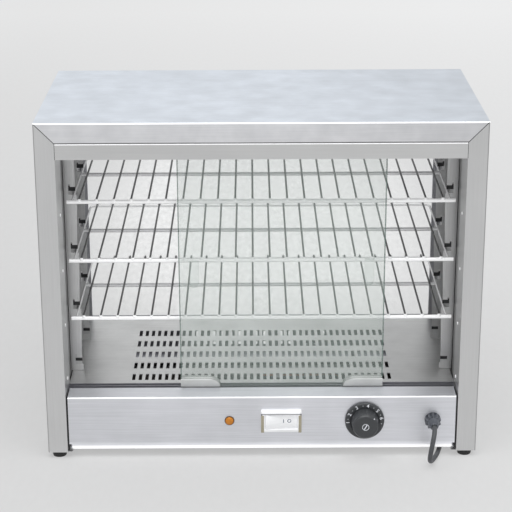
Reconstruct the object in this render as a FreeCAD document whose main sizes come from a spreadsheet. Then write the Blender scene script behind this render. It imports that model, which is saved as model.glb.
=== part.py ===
import FreeCAD, Part
import math
import os
import Sketcher
from FreeCAD import Placement, Rotation, Vector

# Hot food display case: a countertop warmer in brushed steel sheet, with two
# sliding glass doors, three wire shelves, a fixed rear pane and a heating
# element under a slotted floor. Millimetres, +X right, +Y to the back, +Z up.
# The origin is at the centre of the footprint, on the surface it stands on.

SIZES = {
    # casing
    "case_width": 635, "case_depth": 336, "case_height": 503, "skin_thick": 1,
    "flange_width": 29, "bend_radius": 2, "seam_gap": 0.3, "lip_depth": 60,
    "foot_flange": 37, "wall_start": 20,
    # headers over the two openings
    "header_height": 23, "header_seam": 0.5, "header_return": 57, "header_lip": 8,
    # door and pane tracks
    "track_setback": 36, "groove_width": 7, "fin_thick": 1.3, "track_height": 10,
    "upper_track_height": 21.5, "pane_groove": 4.6, "pane_track_height": 9,
    # control panel, floor and base
    "deck_height": 88, "panel_inset": 0.5, "panel_side_gap": 2.7, "base_gap": 2,
    "hem_radius": 10, "panel_return": 26, "track_ledge": 30,
    "corner_notch": 4, "corner_notch_height": 11, "base_setback": 10,
    "slot_width": 5, "slot_length": 23, "slot_pitch": 9.9, "slot_columns": 40,
    "slot_rows": 5, "slot_row_pitch": 44.1, "first_slot_row": 77,
    "vent_width": 4, "vent_length": 30, "vent_pitch": 14, "vent_count": 16,
    # inner walls with their shelf rails
    "rail_width": 15, "rail_slot": 16, "front_rail": 103.6, "rear_rail": 226,
    "rail_clearance": 0.5, "rail_tab": 2, "rail_tab_height": 9, "rail_taper": 76,
    "ceiling_drop": 2.5, "ceiling_flange": 15, "rivet_setback": 35, "rivet_first": 105,
    "rivet_pitch": 84.7, "rivet_count": 4, "rivet_radius": 1.5, "rivet_head": 2.6,
    # shelves
    "first_level": 101.5, "level_pitch": 90, "level_count": 4, "frame_wire": 6,
    "shelf_side_gap": 6, "shelf_gap": 0.6, "shelf_corner": 8, "grid_wire": 3,
    "grid_margin": 16.5, "grid_count": 22, "cross_wire": 5.6, "cross_setback": 8,
    "notch_leg": 2.5, "notch_rise": 13, "notch_lift": 6, "notch_play": 1, "weld_depth": 0.8,
    # sliding doors
    "door_width": 300.5, "glass_thick": 4, "door_left_edge": -120.5,
    "door_engagement": 10, "slide_gap": 0.3, "shoe_length": 59, "shoe_height": 12,
    "shoe_slope": 14, "glass_lift": 2, "pull_width": 14.5, "pull_height": 40,
    "pull_edge": 15, "pull_bottom": 158, "pull_depth": 1.2,
    # controls, all on one line across the panel
    "control_line": 50.5, "lamp_place": -48, "lamp_radius": 6, "lamp_bezel": 7.6,
    "lamp_bezel_depth": 1.6, "lamp_collar": 3, "lamp_lens_reach": 4.5, "lamp_body_length": 26,
    "switch_place": 28.4, "switch_width": 60, "switch_height": 35,
    "switch_proud": 7, "switch_rim": 3.5, "switch_body_width": 50,
    "switch_body_height": 27, "switch_body_depth": 24, "rocker_width": 48,
    "rocker_height": 22, "rocker_tilt": 6, "rocker_gap": 0.4, "knob_place": 151.5,
    "knob_reach": 26, "dial_radius": 29, "dial_thick": 5, "grip_radius": 20.5,
    "grip_front": 18.5, "knob_gap": 0.6, "shaft_radius": 3, "shaft_gap": 0.05,
    "shaft_length": 26, "thermostat_width": 34, "thermostat_depth": 38,
    "bulb_radius": 3, "bulb_length": 90, "capillary_radius": 0.8,
    # cable gland
    "gland_from_side": 36.5, "gland_radius": 12, "gland_collar": 11, "gland_reach": 26,
    "gland_thread": 8, "gland_tail": 14, "gland_nut_thick": 5, "gland_nut_radius": 11,
    "gland_mouth": 5, "gland_rib": 1.4, "gland_rib_count": 12,
    # heating
    "element_radius": 4, "element_height": 55, "element_bend": 26,
    "element_side_gap": 73.5, "element_first_pass": 92, "element_pass_pitch": 58,
    "element_tail": 30, "bracket_thick": 2, "bracket_count": 3, "bracket_pitch": 150, "bracket_gap": 0.2,
    "shield_height": 22, "shield_front": 66, "shield_depth": 240,
    "shield_side_gap": 16.5,
    # wiring
    "core_radius": 1.2, "terminal_from_gland": 38, "terminal_width": 26,
    "terminal_depth": 20, "terminal_height": 15, "terminal_from_front": 36,
    "stud_from_side": 20.5, "stud_from_front": 78, "stud_radius": 2, "stud_height": 16,
    # feet
    "foot_height": 9, "foot_radius": 11.5, "foot_taper": 1.5, "foot_side": 15.5,
    "foot_front": 12.5, "foot_screw": 2, "foot_screw_head": 4, "foot_recess": 3.5,
    # mains lead, its coil and plug
    "cord_diameter": 7, "coil_across": 37.5, "coil_offset": 12, "coil_clearance": 10,
    "coil_wide": 14.5, "coil_high": 21.5, "coil_lift": 1.3, "tie_width": 10, "tie_thick": 1, "tie_slack": 0.8,
    "tie_turn": 200,
    "plug_radius": 18, "plug_length": 34, "plug_neck": 24, "plug_neck_radius": 5.5,
    "pin_radius": 2.4, "pin_length": 19, "pin_spacing": 19,
}

doc = FreeCAD.newDocument("HotFoodDisplayCase")
sheet = doc.addObject("Spreadsheet::Sheet", "Sizes")
for row, (word, number) in enumerate(SIZES.items(), start=1):
    sheet.set(f"A{row}", word)
    sheet.set(f"B{row}", str(number))
    sheet.setAlias(f"B{row}", word)
doc.recompute()


class Size:
    """A number together with its formula in the words of the sheet."""

    def __init__(self, value, formula):
        self.value = value
        self.formula = formula

    def __add__(self, other):
        other = as_size(other)
        return Size(self.value + other.value, f"({self.formula} + {other.formula})")

    def __sub__(self, other):
        other = as_size(other)
        return Size(self.value - other.value, f"({self.formula} - {other.formula})")

    def __mul__(self, other):
        other = as_size(other)
        return Size(self.value * other.value, f"({self.formula} * {other.formula})")

    def __truediv__(self, other):
        other = as_size(other)
        return Size(self.value / other.value, f"({self.formula} / {other.formula})")

    def __neg__(self):
        return self * -1

    def __rsub__(self, other):
        return as_size(other) - self

    __radd__ = __add__
    __rmul__ = __mul__


def as_size(thing):
    if isinstance(thing, Size):
        return thing
    return Size(float(thing), f"({float(thing)})")


def size(word):
    """The driving dimension of that name, read from the sheet."""
    return Size(float(sheet.get(word)), f"Sizes.{word}")


# ---------------------------------------------------------------- helpers

PLANES = {"xy": ("XY_Plane", 1), "xz": ("XZ_Plane", -1), "yz": ("YZ_Plane", 1)}
nodes = []


def bind(item, **properties):
    for name, value in properties.items():
        item.setExpression(name, as_size(value).formula)
    return item


def keep(item, name):
    """Make item a sub-part with that name."""
    item.Label = name
    nodes.append(item)
    return item


def place(item, x=0, y=0, z=0, rotation=Rotation()):
    item.Placement = Placement(Vector(), rotation)
    for axis, value in zip("xyz", (x, y, z)):
        item.setExpression(f"Placement.Base.{axis}", as_size(value).formula)
    return item


def new_body(name):
    return keep(doc.addObject("PartDesign::Body", name), name)


def sketch_on(body, plane, start):
    """Empty sketch parallel to one of the body's planes, at start along its axis."""
    role, sense = PLANES[plane]
    sketch = body.newObject("Sketcher::SketchObject", "Sketch")
    origin = next(item for item in body.Origin.OriginFeatures if item.Role == role)
    sketch.AttachmentSupport = [(origin, "")]
    sketch.MapMode = "FlatFace"
    sketch.setExpression("AttachmentOffset.Base.z", (as_size(start) * sense).formula)
    return sketch


def fix_point(sketch, geometry, point, place_in_sketch):
    for kind, value in zip(("DistanceX", "DistanceY"), place_in_sketch):
        value = as_size(value)
        rule = Sketcher.Constraint(kind, -1, 1, geometry, point, value.value)
        number = sketch.addConstraint(rule)
        sketch.setExpression(f"Constraints[{number}]", value.formula)


def draw_outline(sketch, points):
    corners = [Vector(as_size(u).value, as_size(v).value, 0) for u, v in points]
    count = len(corners)
    first = sketch.GeometryCount
    for index, corner in enumerate(corners):
        line = Part.LineSegment(corner, corners[(index + 1) % count])
        sketch.addGeometry(line, False)
    for index in range(count):
        after = first + (index + 1) % count
        sketch.addConstraint(Sketcher.Constraint("Coincident", first + index, 2, after, 1))
        fix_point(sketch, first + index, 1, points[index])


def draw_circle(sketch, centre, radius):
    u, v = (as_size(part) for part in centre)
    radius = as_size(radius)
    circle = Part.Circle(Vector(u.value, v.value, 0), Vector(0, 0, 1), radius.value)
    geometry = sketch.addGeometry(circle, False)
    fix_point(sketch, geometry, 3, centre)
    number = sketch.addConstraint(Sketcher.Constraint("Radius", geometry, radius.value))
    sketch.setExpression(f"Constraints[{number}]", radius.formula)


def box_points(low, high):
    return [low, (high[0], low[1]), high, (low[0], high[1])]


def extrude(body, plane, shapes, start, length, cutting=False):
    """Pad or pocket from start along the plane's axis; shapes are outlines or circles."""
    sketch = sketch_on(body, plane, start)
    for shape in shapes:
        if isinstance(shape, list):
            draw_outline(sketch, shape)
        else:
            draw_circle(sketch, *shape)
    kind = "PartDesign::Pocket" if cutting else "PartDesign::Pad"
    feature = body.newObject(kind, kind.split("::")[1])
    feature.Profile = sketch
    feature.Reversed = (PLANES[plane][1] < 0) != cutting
    bind(feature, Length=length)
    return feature


def pad(body, plane, shapes, start, length):
    return extrude(body, plane, shapes, start, length)


def pocket(body, plane, shapes, start, length):
    return extrude(body, plane, shapes, start, length, cutting=True)


def repeat(body, feature, count, pitch, axis="V_Axis"):
    """Copies of a pad or pocket, pitch apart along an axis of its own sketch."""
    pattern = body.newObject("PartDesign::LinearPattern", "Pattern")
    pattern.Originals = [feature]
    pattern.Direction = (feature.Profile[0], [axis])
    bind(pattern, Length=(as_size(count) - 1) * pitch, Occurrences=count)
    body.Tip = pattern
    return pattern


def turn(body, profile):
    """Solid of revolution about the body's Z axis, from (radius, height) points."""
    sketch = sketch_on(body, "xz", 0)
    draw_outline(sketch, profile)
    feature = body.newObject("PartDesign::Revolution", "Revolution")
    feature.Profile = sketch
    feature.ReferenceAxis = (sketch, ["V_Axis"])
    feature.Angle = 360
    return feature


def round_edges(body, radius, wanted):
    """Fillet on the edges for which wanted(middle point, direction) is true."""
    doc.recompute()
    base = body.Tip
    names = []
    for number, edge in enumerate(base.Shape.Edges, start=1):
        middle = edge.valueAt((edge.FirstParameter + edge.LastParameter) / 2)
        direction = edge.tangentAt(edge.FirstParameter)
        if wanted(middle, direction):
            names.append(f"Edge{number}")
    fillet = body.newObject("PartDesign::Fillet", "Fillet")
    fillet.Base = (base, names)
    bind(fillet, Radius=radius)
    return fillet


def near(first, second):
    return abs(as_size(first).value - as_size(second).value) < 0.01


def bend_at(y, z):
    """Test for the edges of a long fold that run along X through (y, z)."""
    return lambda middle, way: abs(way.x) > 0.9 and near(middle.y, y) and near(middle.z, z)


def block(name, low, high):
    """Box between two corners."""
    item = doc.addObject("Part::Box", name)
    spans = [as_size(b) - as_size(a) for a, b in zip(low, high)]
    bind(item, Length=spans[0], Width=spans[1], Height=spans[2])
    return place(item, *low)


TOWARDS = {
    "+x": Rotation(Vector(0, 1, 0), 90), "-x": Rotation(Vector(0, 1, 0), -90),
    "+y": Rotation(Vector(1, 0, 0), -90), "-y": Rotation(Vector(1, 0, 0), 90),
    "+z": Rotation(), "-z": Rotation(Vector(1, 0, 0), 180),
}


def rod(name, radius, start, length, way):
    """Cylinder from start, pointing along way."""
    item = doc.addObject("Part::Cylinder", name)
    bind(item, Radius=radius, Height=length)
    return place(item, *start, rotation=TOWARDS[way])


def cut(name, base, tools):
    item = doc.addObject("Part::Cut", name)
    item.Base = base
    item.Tool = tools[0] if len(tools) == 1 else join(name + "_tools", tools)
    return item


def join(name, pieces):
    item = doc.addObject("Part::MultiFuse", name)
    item.Shapes = pieces
    return item


def group(name, pieces):
    """Like pieces that share one sub-part, each still a solid of its own."""
    item = doc.addObject("Part::Compound", name)
    item.Links = pieces
    return keep(item, name)


def arc_radius(before, corner, after, limit=None):
    """Largest arc at a corner: 0.45 of its shorter run over tan(half the turn)."""
    first = corner - before
    second = after - corner
    half_turn = first.getAngle(second) / 2
    radius = 0.45 * min(first.Length, second.Length) / math.tan(half_turn)
    return radius if limit is None else min(radius, limit)


def route_wire(points, limit=None):
    """Straight runs joined by tangent arcs, and the arcs' radii."""
    edges = []
    radii = []
    here = points[0]
    for before, corner, after in zip(points, points[1:], points[2:]):
        into = (corner - before).normalize()
        out = (after - corner).normalize()
        radius = arc_radius(before, corner, after, limit)
        reach = radius * math.tan(into.getAngle(out) / 2)
        start = corner - into * reach
        end = corner + out * reach
        bulge = (out - into).normalize()
        centre = corner + bulge * math.hypot(radius, reach)
        edges.append(Part.LineSegment(here, start).toShape())
        edges.append(Part.Arc(start, centre - bulge * radius, end).toShape())
        radii.append(radius)
        here = end
    edges.append(Part.LineSegment(here, points[-1]).toShape())
    return Part.Wire(edges), radii


def tube_shape(points, radius, limit=None, name=""):
    """Round tube along a route, checked against section times length."""
    wire, radii = route_wire(points, limit)
    start = (points[1] - points[0]).normalize()
    section = Part.Wire([Part.Circle(points[0], start, radius).toShape()])
    solid = wire.makePipeShell([section], True, False, 2)
    solid = Part.Solid(solid) if solid.ShapeType == "Shell" else solid
    expected = math.pi * radius ** 2 * wire.Length
    ratio = solid.Volume / expected
    tightest = f"{min(radii):.1f}" if radii else "none"
    print(f"{name}: length {wire.Length:.1f}, tightest arc {tightest}, volume ratio {ratio:.4f}")
    if name.endswith(("cord", "tail")):
        print("  radii", [round(value, 1) for value in radii])
    return solid


def feature(name, shape):
    item = doc.addObject("Part::Feature", name)
    item.Shape = shape
    return keep(item, name)


# ---------------------------------------------------------------- shared places

skin = size("skin_thick")
seam = size("seam_gap")
half = size("case_width") / 2
inside = half - size("flange_width")
front = -(size("case_depth") - size("knob_reach")) / 2
back = front + size("case_depth")
base = size("foot_height")
top = base + size("case_height")
deck = base + size("deck_height")
panel_bottom = base + size("base_gap")
control_z = base + size("control_line")
panel_face = front + size("panel_inset")
panel_half = inside - size("panel_side_gap")
header_top = top - size("flange_width") - size("header_seam")
header_bottom = header_top - size("header_height")

fin = size("fin_thick")
groove = size("groove_width")
track_front = front + size("track_setback")
track_bottom = deck - size("track_height")
track_depth = fin * 3 + groove * 2
front_groove = track_front + fin + groove / 2
rear_groove = front_groove + groove + fin
upper_track_top = header_top - skin
upper_track_bottom = upper_track_top - size("upper_track_height")
door_left = size("door_left_edge")
door_right = door_left + size("door_width")

pane_track_depth = fin * 2 + size("pane_groove")
pane_back = back - skin
pane_front = pane_back - pane_track_depth
pane_middle = pane_back - pane_track_depth / 2
pane_track_bottom = deck - size("pane_track_height")

rail_tip = inside - size("rail_width")
first_wire = base + size("first_level")
wire_radius = size("frame_wire") / 2
wire_x = inside - size("shelf_side_gap") - wire_radius
ceiling = header_top - size("ceiling_drop")

gland_x = inside - size("gland_from_side")
terminal_x = gland_x - size("terminal_from_gland")
element_run = inside - size("element_side_gap")
element_end = element_run + size("element_tail")


# ---------------------------------------------------------------- casing

def side_panel(name, side):
    """Skin folded to a channel, with a long lip inside the front edge."""
    body = new_body(name)
    edge = side * half
    inner = side * inside
    lip_back = front + size("lip_depth")
    plan = [
        (edge, front), (edge, back), (inner, back), (inner, back - skin),
        (edge - side * skin, back - skin), (edge - side * skin, front + skin),
        (inner + side * skin, front + skin), (inner + side * skin, lip_back),
        (inner, lip_back), (inner, front),
    ]
    pad(body, "xy", [plan], base, top - skin - base)
    foot_inner = edge - side * size("foot_flange")
    shelf = box_points((foot_inner, front + skin), (edge - side * skin, back - skin))
    pad(body, "xy", [shelf], base, skin)
    mitre = [
        (edge - side * skin, top - skin),
        (inner, top - size("flange_width") - size("seam_gap")),
        (inner, top),
    ]
    pocket(body, "xz", [mitre], front, size("case_depth"))
    screw_x = edge - side * size("foot_side")
    screw_hole = size("foot_screw") + seam / 2
    foot_ys = (front + size("foot_front"), back - size("foot_front"))
    pocket(body, "xy", [((screw_x, y), screw_hole) for y in foot_ys], base, skin)
    rivet_holes(body, inner if side > 0 else inner - skin)
    fold_y = (front, back)
    round_edges(body, size("bend_radius"), lambda middle, way: (
        abs(way.z) > 0.9 and near(middle.x, edge) and any(near(middle.y, y) for y in fold_y)))
    return body


def rivet_holes(body, start):
    """Column of rivet holes through one sheet whose low X face is at start."""
    hole = ((front + size("rivet_setback"), base + size("rivet_first")),
            size("rivet_radius") + 0.05)
    first = pocket(body, "yz", [hole], start, skin)
    repeat(body, first, size("rivet_count"), size("rivet_pitch"))


def top_panel():
    """Cover with a mitred flange along the front and the back."""
    body = new_body("top_panel")
    hem = top - size("flange_width")
    section = [
        (front, top), (front, hem), (front + skin, hem), (front + skin, top - skin),
        (back - skin, top - skin), (back - skin, hem), (back, hem), (back, top),
    ]
    pad(body, "yz", [section], -half, half * 2)
    corners = []
    for side in (-1, 1):
        edge = side * half
        corners.append([(edge, top - skin), (edge - side * skin, top - skin),
                        (side * inside, hem), (edge, hem)])
    pocket(body, "xz", corners, front, size("case_depth"))
    folds = (bend_at(front, top), bend_at(back, top))
    round_edges(body, size("bend_radius"), lambda middle, way: any(
        fold(middle, way) for fold in folds))
    return body


def header(name, face, inward, lip=None):
    """Folded strip over an opening; inward is +1 for the front one."""
    body = new_body(name)
    y_in = face + inward * skin
    y_end = face + inward * size("header_return")
    section = [
        (y_in, header_bottom), (y_in, header_top - skin), (y_end, header_top - skin),
        (y_end, header_top), (face, header_top), (face, header_bottom),
    ]
    if lip is not None:
        y_lip = y_in + inward * lip
        section[0] = (y_in, header_bottom + skin)
        section += [(y_lip, header_bottom), (y_lip, header_bottom + skin)]
    pad(body, "yz", [section], -(inside - seam), (inside - seam) * 2)
    round_edges(body, size("bend_radius"), bend_at(face, header_top))
    return body


def channel_section(low, web, tip, grooves, width):
    """Comb section: a web with one more fin than it has grooves."""
    thick = fin if tip.value > web.value else -fin
    points = [(low, web)]
    for number in range(grooves + 1):
        left = low + (fin + width) * number
        points += [(left, tip), (left + fin, tip)]
        if number < grooves:
            points += [(left + fin, web + thick), (left + fin + width, web + thick)]
    last = low + (fin + width) * grooves + fin
    return points + [(last, web)]


def track(name, low, web, tip, grooves, width):
    body = new_body(name)
    section = channel_section(low, web, tip, grooves, width)
    pad(body, "yz", [section], -(inside - seam), (inside - seam) * 2)
    return body


def pane_post(name, side):
    """Upright channel that holds one edge of the rear pane."""
    body = new_body(name)
    outer = side * (inside - seam)
    web = outer - side * fin
    tip = outer - side * size("pane_track_height")
    section = [
        (outer, pane_front), (tip, pane_front), (tip, pane_front + fin),
        (web, pane_front + fin), (web, pane_back - fin), (tip, pane_back - fin),
        (tip, pane_back), (outer, pane_back),
    ]
    pad(body, "xy", [section], deck, upper_track_bottom - deck)
    return body


def inner_wall(name, side):
    """Liner wall; its two shelf rails are lanced from the sheet and bent inwards."""
    body = new_body(name)
    face = side * (inside + skin)
    outer = side * (inside + skin * 2)
    start = face if side > 0 else outer
    low_z = base + skin
    plate = box_points((front + size("wall_start"), low_z), (back - skin, top - skin))
    pad(body, "yz", [plate], start, skin)
    rail_low = deck + size("rail_clearance")
    rail_ys = [front + size("front_rail"), front + size("rear_rail")]
    slots = [box_points((y - size("rail_slot"), rail_low), (y, ceiling)) for y in rail_ys]
    pocket(body, "yz", slots, start, skin)
    tip = side * rail_tip
    strips = [box_points((tip, y), (outer, y + skin)) for y in rail_ys]
    pad(body, "xy", strips, rail_low, ceiling - rail_low)
    seat = first_wire - wire_radius
    tab_tip = tip - side * size("rail_tab")
    tab = box_points((tab_tip, seat - size("rail_tab_height")), (tip, seat))
    second_seat = seat + size("level_pitch")
    taper = [(tip, second_seat), (tab_tip, second_seat),
             (tab_tip, second_seat - size("rail_tab_height")),
             (tip, second_seat - size("rail_taper"))]
    slot_end = side * (wire_x + wire_radius + size("notch_play"))
    leg = slot_end - side * size("notch_leg")
    slot_top = first_wire + wire_radius + size("notch_lift")
    leg_top = first_wire + size("notch_rise")
    notch = [(tip, seat), (slot_end, seat), (slot_end, leg_top), (leg, leg_top),
             (leg, slot_top), (tip, slot_top)]
    for y in rail_ys:
        foot_tab = pad(body, "xz", [tab], y, skin)
        repeat(body, foot_tab, size("level_count"), size("level_pitch"))
        tapered = pad(body, "xz", [taper], y, skin)
        repeat(body, tapered, size("level_count") - 1, size("level_pitch"))
        opening = pocket(body, "xz", [notch], y, skin)
        repeat(body, opening, size("level_count"), size("level_pitch"))
    rivet_holes(body, start)
    return body


def wall_rivets():
    """Domed rivets that hold each liner wall to the lip of its side panel."""
    rivets = []
    for side in (-1, 1):
        way = "+x" if side > 0 else "-x"
        for number in range(int(SIZES["rivet_count"])):
            y = front + size("rivet_setback")
            z = base + size("rivet_first") + size("rivet_pitch") * number
            tag = f"rivet_{number}_{'right' if side > 0 else 'left'}"
            shank = rod(tag + "_shank", size("rivet_radius"), (side * inside, y, z),
                        skin * 2 + 0.5, way)
            head = doc.addObject("Part::Cone", tag + "_head")
            bind(head, Radius1=size("rivet_head"), Radius2=size("rivet_head") * 0.6,
                 Height=size("rivet_radius") * 0.7)
            place(head, side * inside, y, z, rotation=TOWARDS["-x" if side > 0 else "+x"])
            rivets.append(join(tag, [head, shank]))
    return group("wall_rivets", rivets)


def ceiling_liner():
    """Tray that closes the food space, with its edges turned up."""
    body = new_body("ceiling_liner")
    edge = inside + skin - seam
    high = ceiling + skin + size("ceiling_flange")
    section = [
        (-edge, high), (-edge, ceiling), (edge, ceiling), (edge, high),
        (edge - skin, high), (edge - skin, ceiling + skin),
        (-edge + skin, ceiling + skin), (-edge + skin, high),
    ]
    start = front + size("lip_depth") + size("rail_clearance")
    pad(body, "xz", [section], start, pane_front - seam - start)
    return body


# ---------------------------------------------------------------- base

def control_panel():
    """Folded front panel: round lower hem, deck, and a ledge under the door track."""
    body = new_body("control_panel")
    deck_end = track_front - seam
    ledge_end = deck_end + size("track_ledge")
    section = [
        (panel_face + size("panel_return"), panel_bottom), (panel_face, panel_bottom),
        (panel_face, deck), (deck_end, deck), (deck_end, track_bottom),
        (ledge_end, track_bottom), (ledge_end, track_bottom - skin),
        (deck_end - skin, track_bottom - skin), (deck_end - skin, deck - skin),
        (panel_face + skin, deck - skin), (panel_face + skin, panel_bottom + skin),
        (panel_face + size("panel_return"), panel_bottom + skin),
    ]
    pad(body, "yz", [section], -panel_half, panel_half * 2)
    hem = size("hem_radius")
    round_edges(body, hem, bend_at(panel_face, panel_bottom))
    round_edges(body, hem - skin, bend_at(panel_face + skin, panel_bottom + skin))
    round_edges(body, size("bend_radius"), bend_at(panel_face, deck))
    round_edges(body, size("bend_radius") - skin * 0.9, bend_at(panel_face + skin, deck - skin))
    notches = []
    for side in (-1, 1):
        outer = side * panel_half
        notches.append(box_points((outer - side * size("corner_notch"), panel_bottom),
                                  (outer, panel_bottom + size("corner_notch_height"))))
    pocket(body, "xz", notches, panel_face, hem + 1)
    switch_low = (size("switch_place") - size("switch_body_width") / 2 - seam,
                  control_z - size("switch_body_height") / 2 - seam)
    switch_high = (size("switch_place") + size("switch_body_width") / 2 + seam,
                   control_z + size("switch_body_height") / 2 + seam)
    holes = [
        ((size("lamp_place"), control_z), size("lamp_radius") + seam / 2),
        ((size("knob_place"), control_z), size("shaft_radius") + 1),
        ((gland_x, control_z), size("gland_thread") + seam / 2),
        box_points(switch_low, switch_high),
    ]
    pocket(body, "xz", holes, panel_face, skin)
    return body


def rear_base_panel():
    body = new_body("rear_base_panel")
    turn_in = back - size("panel_return")
    section = [
        (back, panel_bottom), (back, deck), (back - skin, deck),
        (back - skin, panel_bottom + skin), (turn_in, panel_bottom + skin),
        (turn_in, panel_bottom),
    ]
    pad(body, "yz", [section], -panel_half, panel_half * 2)
    round_edges(body, size("bend_radius"), bend_at(back, panel_bottom))
    first_x = -(size("vent_count") - 1) * size("vent_pitch") / 2 - size("vent_width") / 2
    low = (first_x, control_z - size("vent_length") / 2)
    high = (first_x + size("vent_width"), control_z + size("vent_length") / 2)
    vent = pocket(body, "xz", [box_points(low, high)], back - skin, skin)
    repeat(body, vent, size("vent_count"), size("vent_pitch"), "H_Axis")
    return body


def base_pan():
    """Bottom plate; it lies on the foot flanges of the side panels."""
    body = new_body("base_pan")
    edge = inside - skin
    plate = box_points((-edge, front + size("base_setback")), (edge, back - skin - seam))
    pad(body, "xy", [plate], base + skin, skin)
    first_x = -(size("vent_count") - 1) * size("vent_pitch") / 2 - size("vent_width") / 2
    first_y = back - size("shield_depth") / 2
    vent_box = box_points((first_x, first_y),
                          (first_x + size("vent_width"), first_y + size("vent_length")))
    vent = pocket(body, "xy", [vent_box], base + skin, skin)
    repeat(body, vent, size("vent_count"), size("vent_pitch"), "H_Axis")
    return body


def floor_plate():
    """Floor of the food space with its rows of heat slots."""
    body = new_body("floor_plate")
    near_edge = track_front + track_depth + seam
    far_edge = pane_front - seam
    rear_end = pane_back - seam
    section = [
        (near_edge, track_bottom), (near_edge, deck), (far_edge, deck),
        (far_edge, pane_track_bottom), (rear_end, pane_track_bottom),
        (rear_end, pane_track_bottom - skin), (far_edge - skin, pane_track_bottom - skin),
        (far_edge - skin, deck - skin), (near_edge + skin, deck - skin),
        (near_edge + skin, track_bottom),
    ]
    pad(body, "yz", [section], -(inside - seam), (inside - seam) * 2)
    first_x = -(size("slot_columns") - 1) * size("slot_pitch") / 2 - size("slot_width") / 2
    first_y = front + size("first_slot_row") - size("slot_length") / 2
    slot_box = box_points((first_x, first_y),
                          (first_x + size("slot_width"), first_y + size("slot_length")))
    slot = pocket(body, "xy", [slot_box], deck - skin, skin)
    grid = body.newObject("PartDesign::LinearPattern", "Pattern")
    grid.Originals = [slot]
    grid.Direction = (slot.Profile[0], ["H_Axis"])
    grid.Direction2 = (slot.Profile[0], ["V_Axis"])
    bind(grid, Length=(size("slot_columns") - 1) * size("slot_pitch"),
         Occurrences=size("slot_columns"),
         Length2=(size("slot_rows") - 1) * size("slot_row_pitch"),
         Occurrences2=size("slot_rows"))
    body.Tip = grid
    return body


def foot(name, side, y):
    """Tapered rubber foot with a recess for its screw head."""
    body = new_body(name)
    low_radius = size("foot_radius") - size("foot_taper")
    hole = size("foot_screw") + seam / 2
    recess = size("foot_screw_head") + 0.5
    turn(body, [
        (hole, base), (hole, size("foot_recess")), (recess, size("foot_recess")),
        (recess, 0), (low_radius, 0), (size("foot_radius"), base),
    ])
    return place(body, side * (half - size("foot_side")), y, 0)


def foot_screws():
    screws = []
    for side in (-1, 1):
        for y in (front + size("foot_front"), back - size("foot_front")):
            x = side * (half - size("foot_side"))
            tag = f"foot_screw_{len(screws)}"
            head = rod(tag + "_head", size("foot_screw_head"), (x, y, size("foot_recess") - 2),
                       2, "+z")
            shank = rod(tag + "_shank", size("foot_screw"), (x, y, size("foot_recess") - 1),
                        base + 7 - size("foot_recess"), "+z")
            nut = rod(tag + "_nut", size("foot_screw_head"), (x, y, base + skin), 3, "+z")
            screws.append(join(tag, [head, shank, nut]))
    return group("foot_screws", screws)


# ---------------------------------------------------------------- doors and pane

def glass_door(name, y, pull_at_left):
    """Pane at Y y, with a finger pull sunk in its front face."""
    body = new_body(name)
    thick = size("glass_thick")
    low = track_bottom + fin + size("slide_gap") + size("glass_lift")
    high = upper_track_bottom + size("door_engagement")
    pad(body, "xz", [box_points((door_left, low), (door_right, high))], y - thick / 2, thick)
    if pull_at_left:
        pull_left = door_left + size("pull_edge")
    else:
        pull_left = door_right - size("pull_edge") - size("pull_width")
    pull_low = deck + size("pull_bottom")
    pull = size("pull_width")
    nick = pull / 4
    outline = [
        (pull_left + nick, pull_low), (pull_left + pull - nick, pull_low),
        (pull_left + pull, pull_low + nick * 2), (pull_left + pull, pull_low + size("pull_height")),
        (pull_left, pull_low + size("pull_height")), (pull_left, pull_low + nick * 2),
    ]
    pocket(body, "xz", [outline], y - thick / 2, size("pull_depth"))
    return body


def door_shoes(name, y):
    """Two plastic shoes that cap the lower corners of a door and run in its groove."""
    body = new_body(name)
    width = groove - size("slide_gap") * 2
    low = track_bottom + fin
    high = deck + size("shoe_height") + 1
    rise = deck + skin
    outlines = []
    for start, way in ((door_left, 1), (door_right, -1)):
        end = start + way * size("shoe_length")
        outlines.append([(start, low), (end, low), (end, rise),
                         (end - way * size("shoe_slope") / 3, high - size("shoe_height") / 3),
                         (end - way * size("shoe_slope"), high), (start, high)])
    pad(body, "xz", outlines, y - width / 2, width)
    fit = seam / 2
    glass_low = track_bottom + fin + size("slide_gap") + size("glass_lift") - fit
    slot = size("glass_thick") + fit * 2
    pocket(body, "xz", [box_points((door_left, glass_low), (door_right, high + 1))], y - slot / 2, slot)
    return body


def rear_glass():
    low = (-(inside - seam * 2 - fin), pane_track_bottom + fin + seam)
    high = (inside - seam * 2 - fin, upper_track_bottom + size("door_engagement"))
    body = new_body("rear_glass")
    thick = size("glass_thick")
    pad(body, "xz", [box_points(low, high)], pane_middle - thick / 2, thick)
    return body


# ---------------------------------------------------------------- shelves

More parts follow.
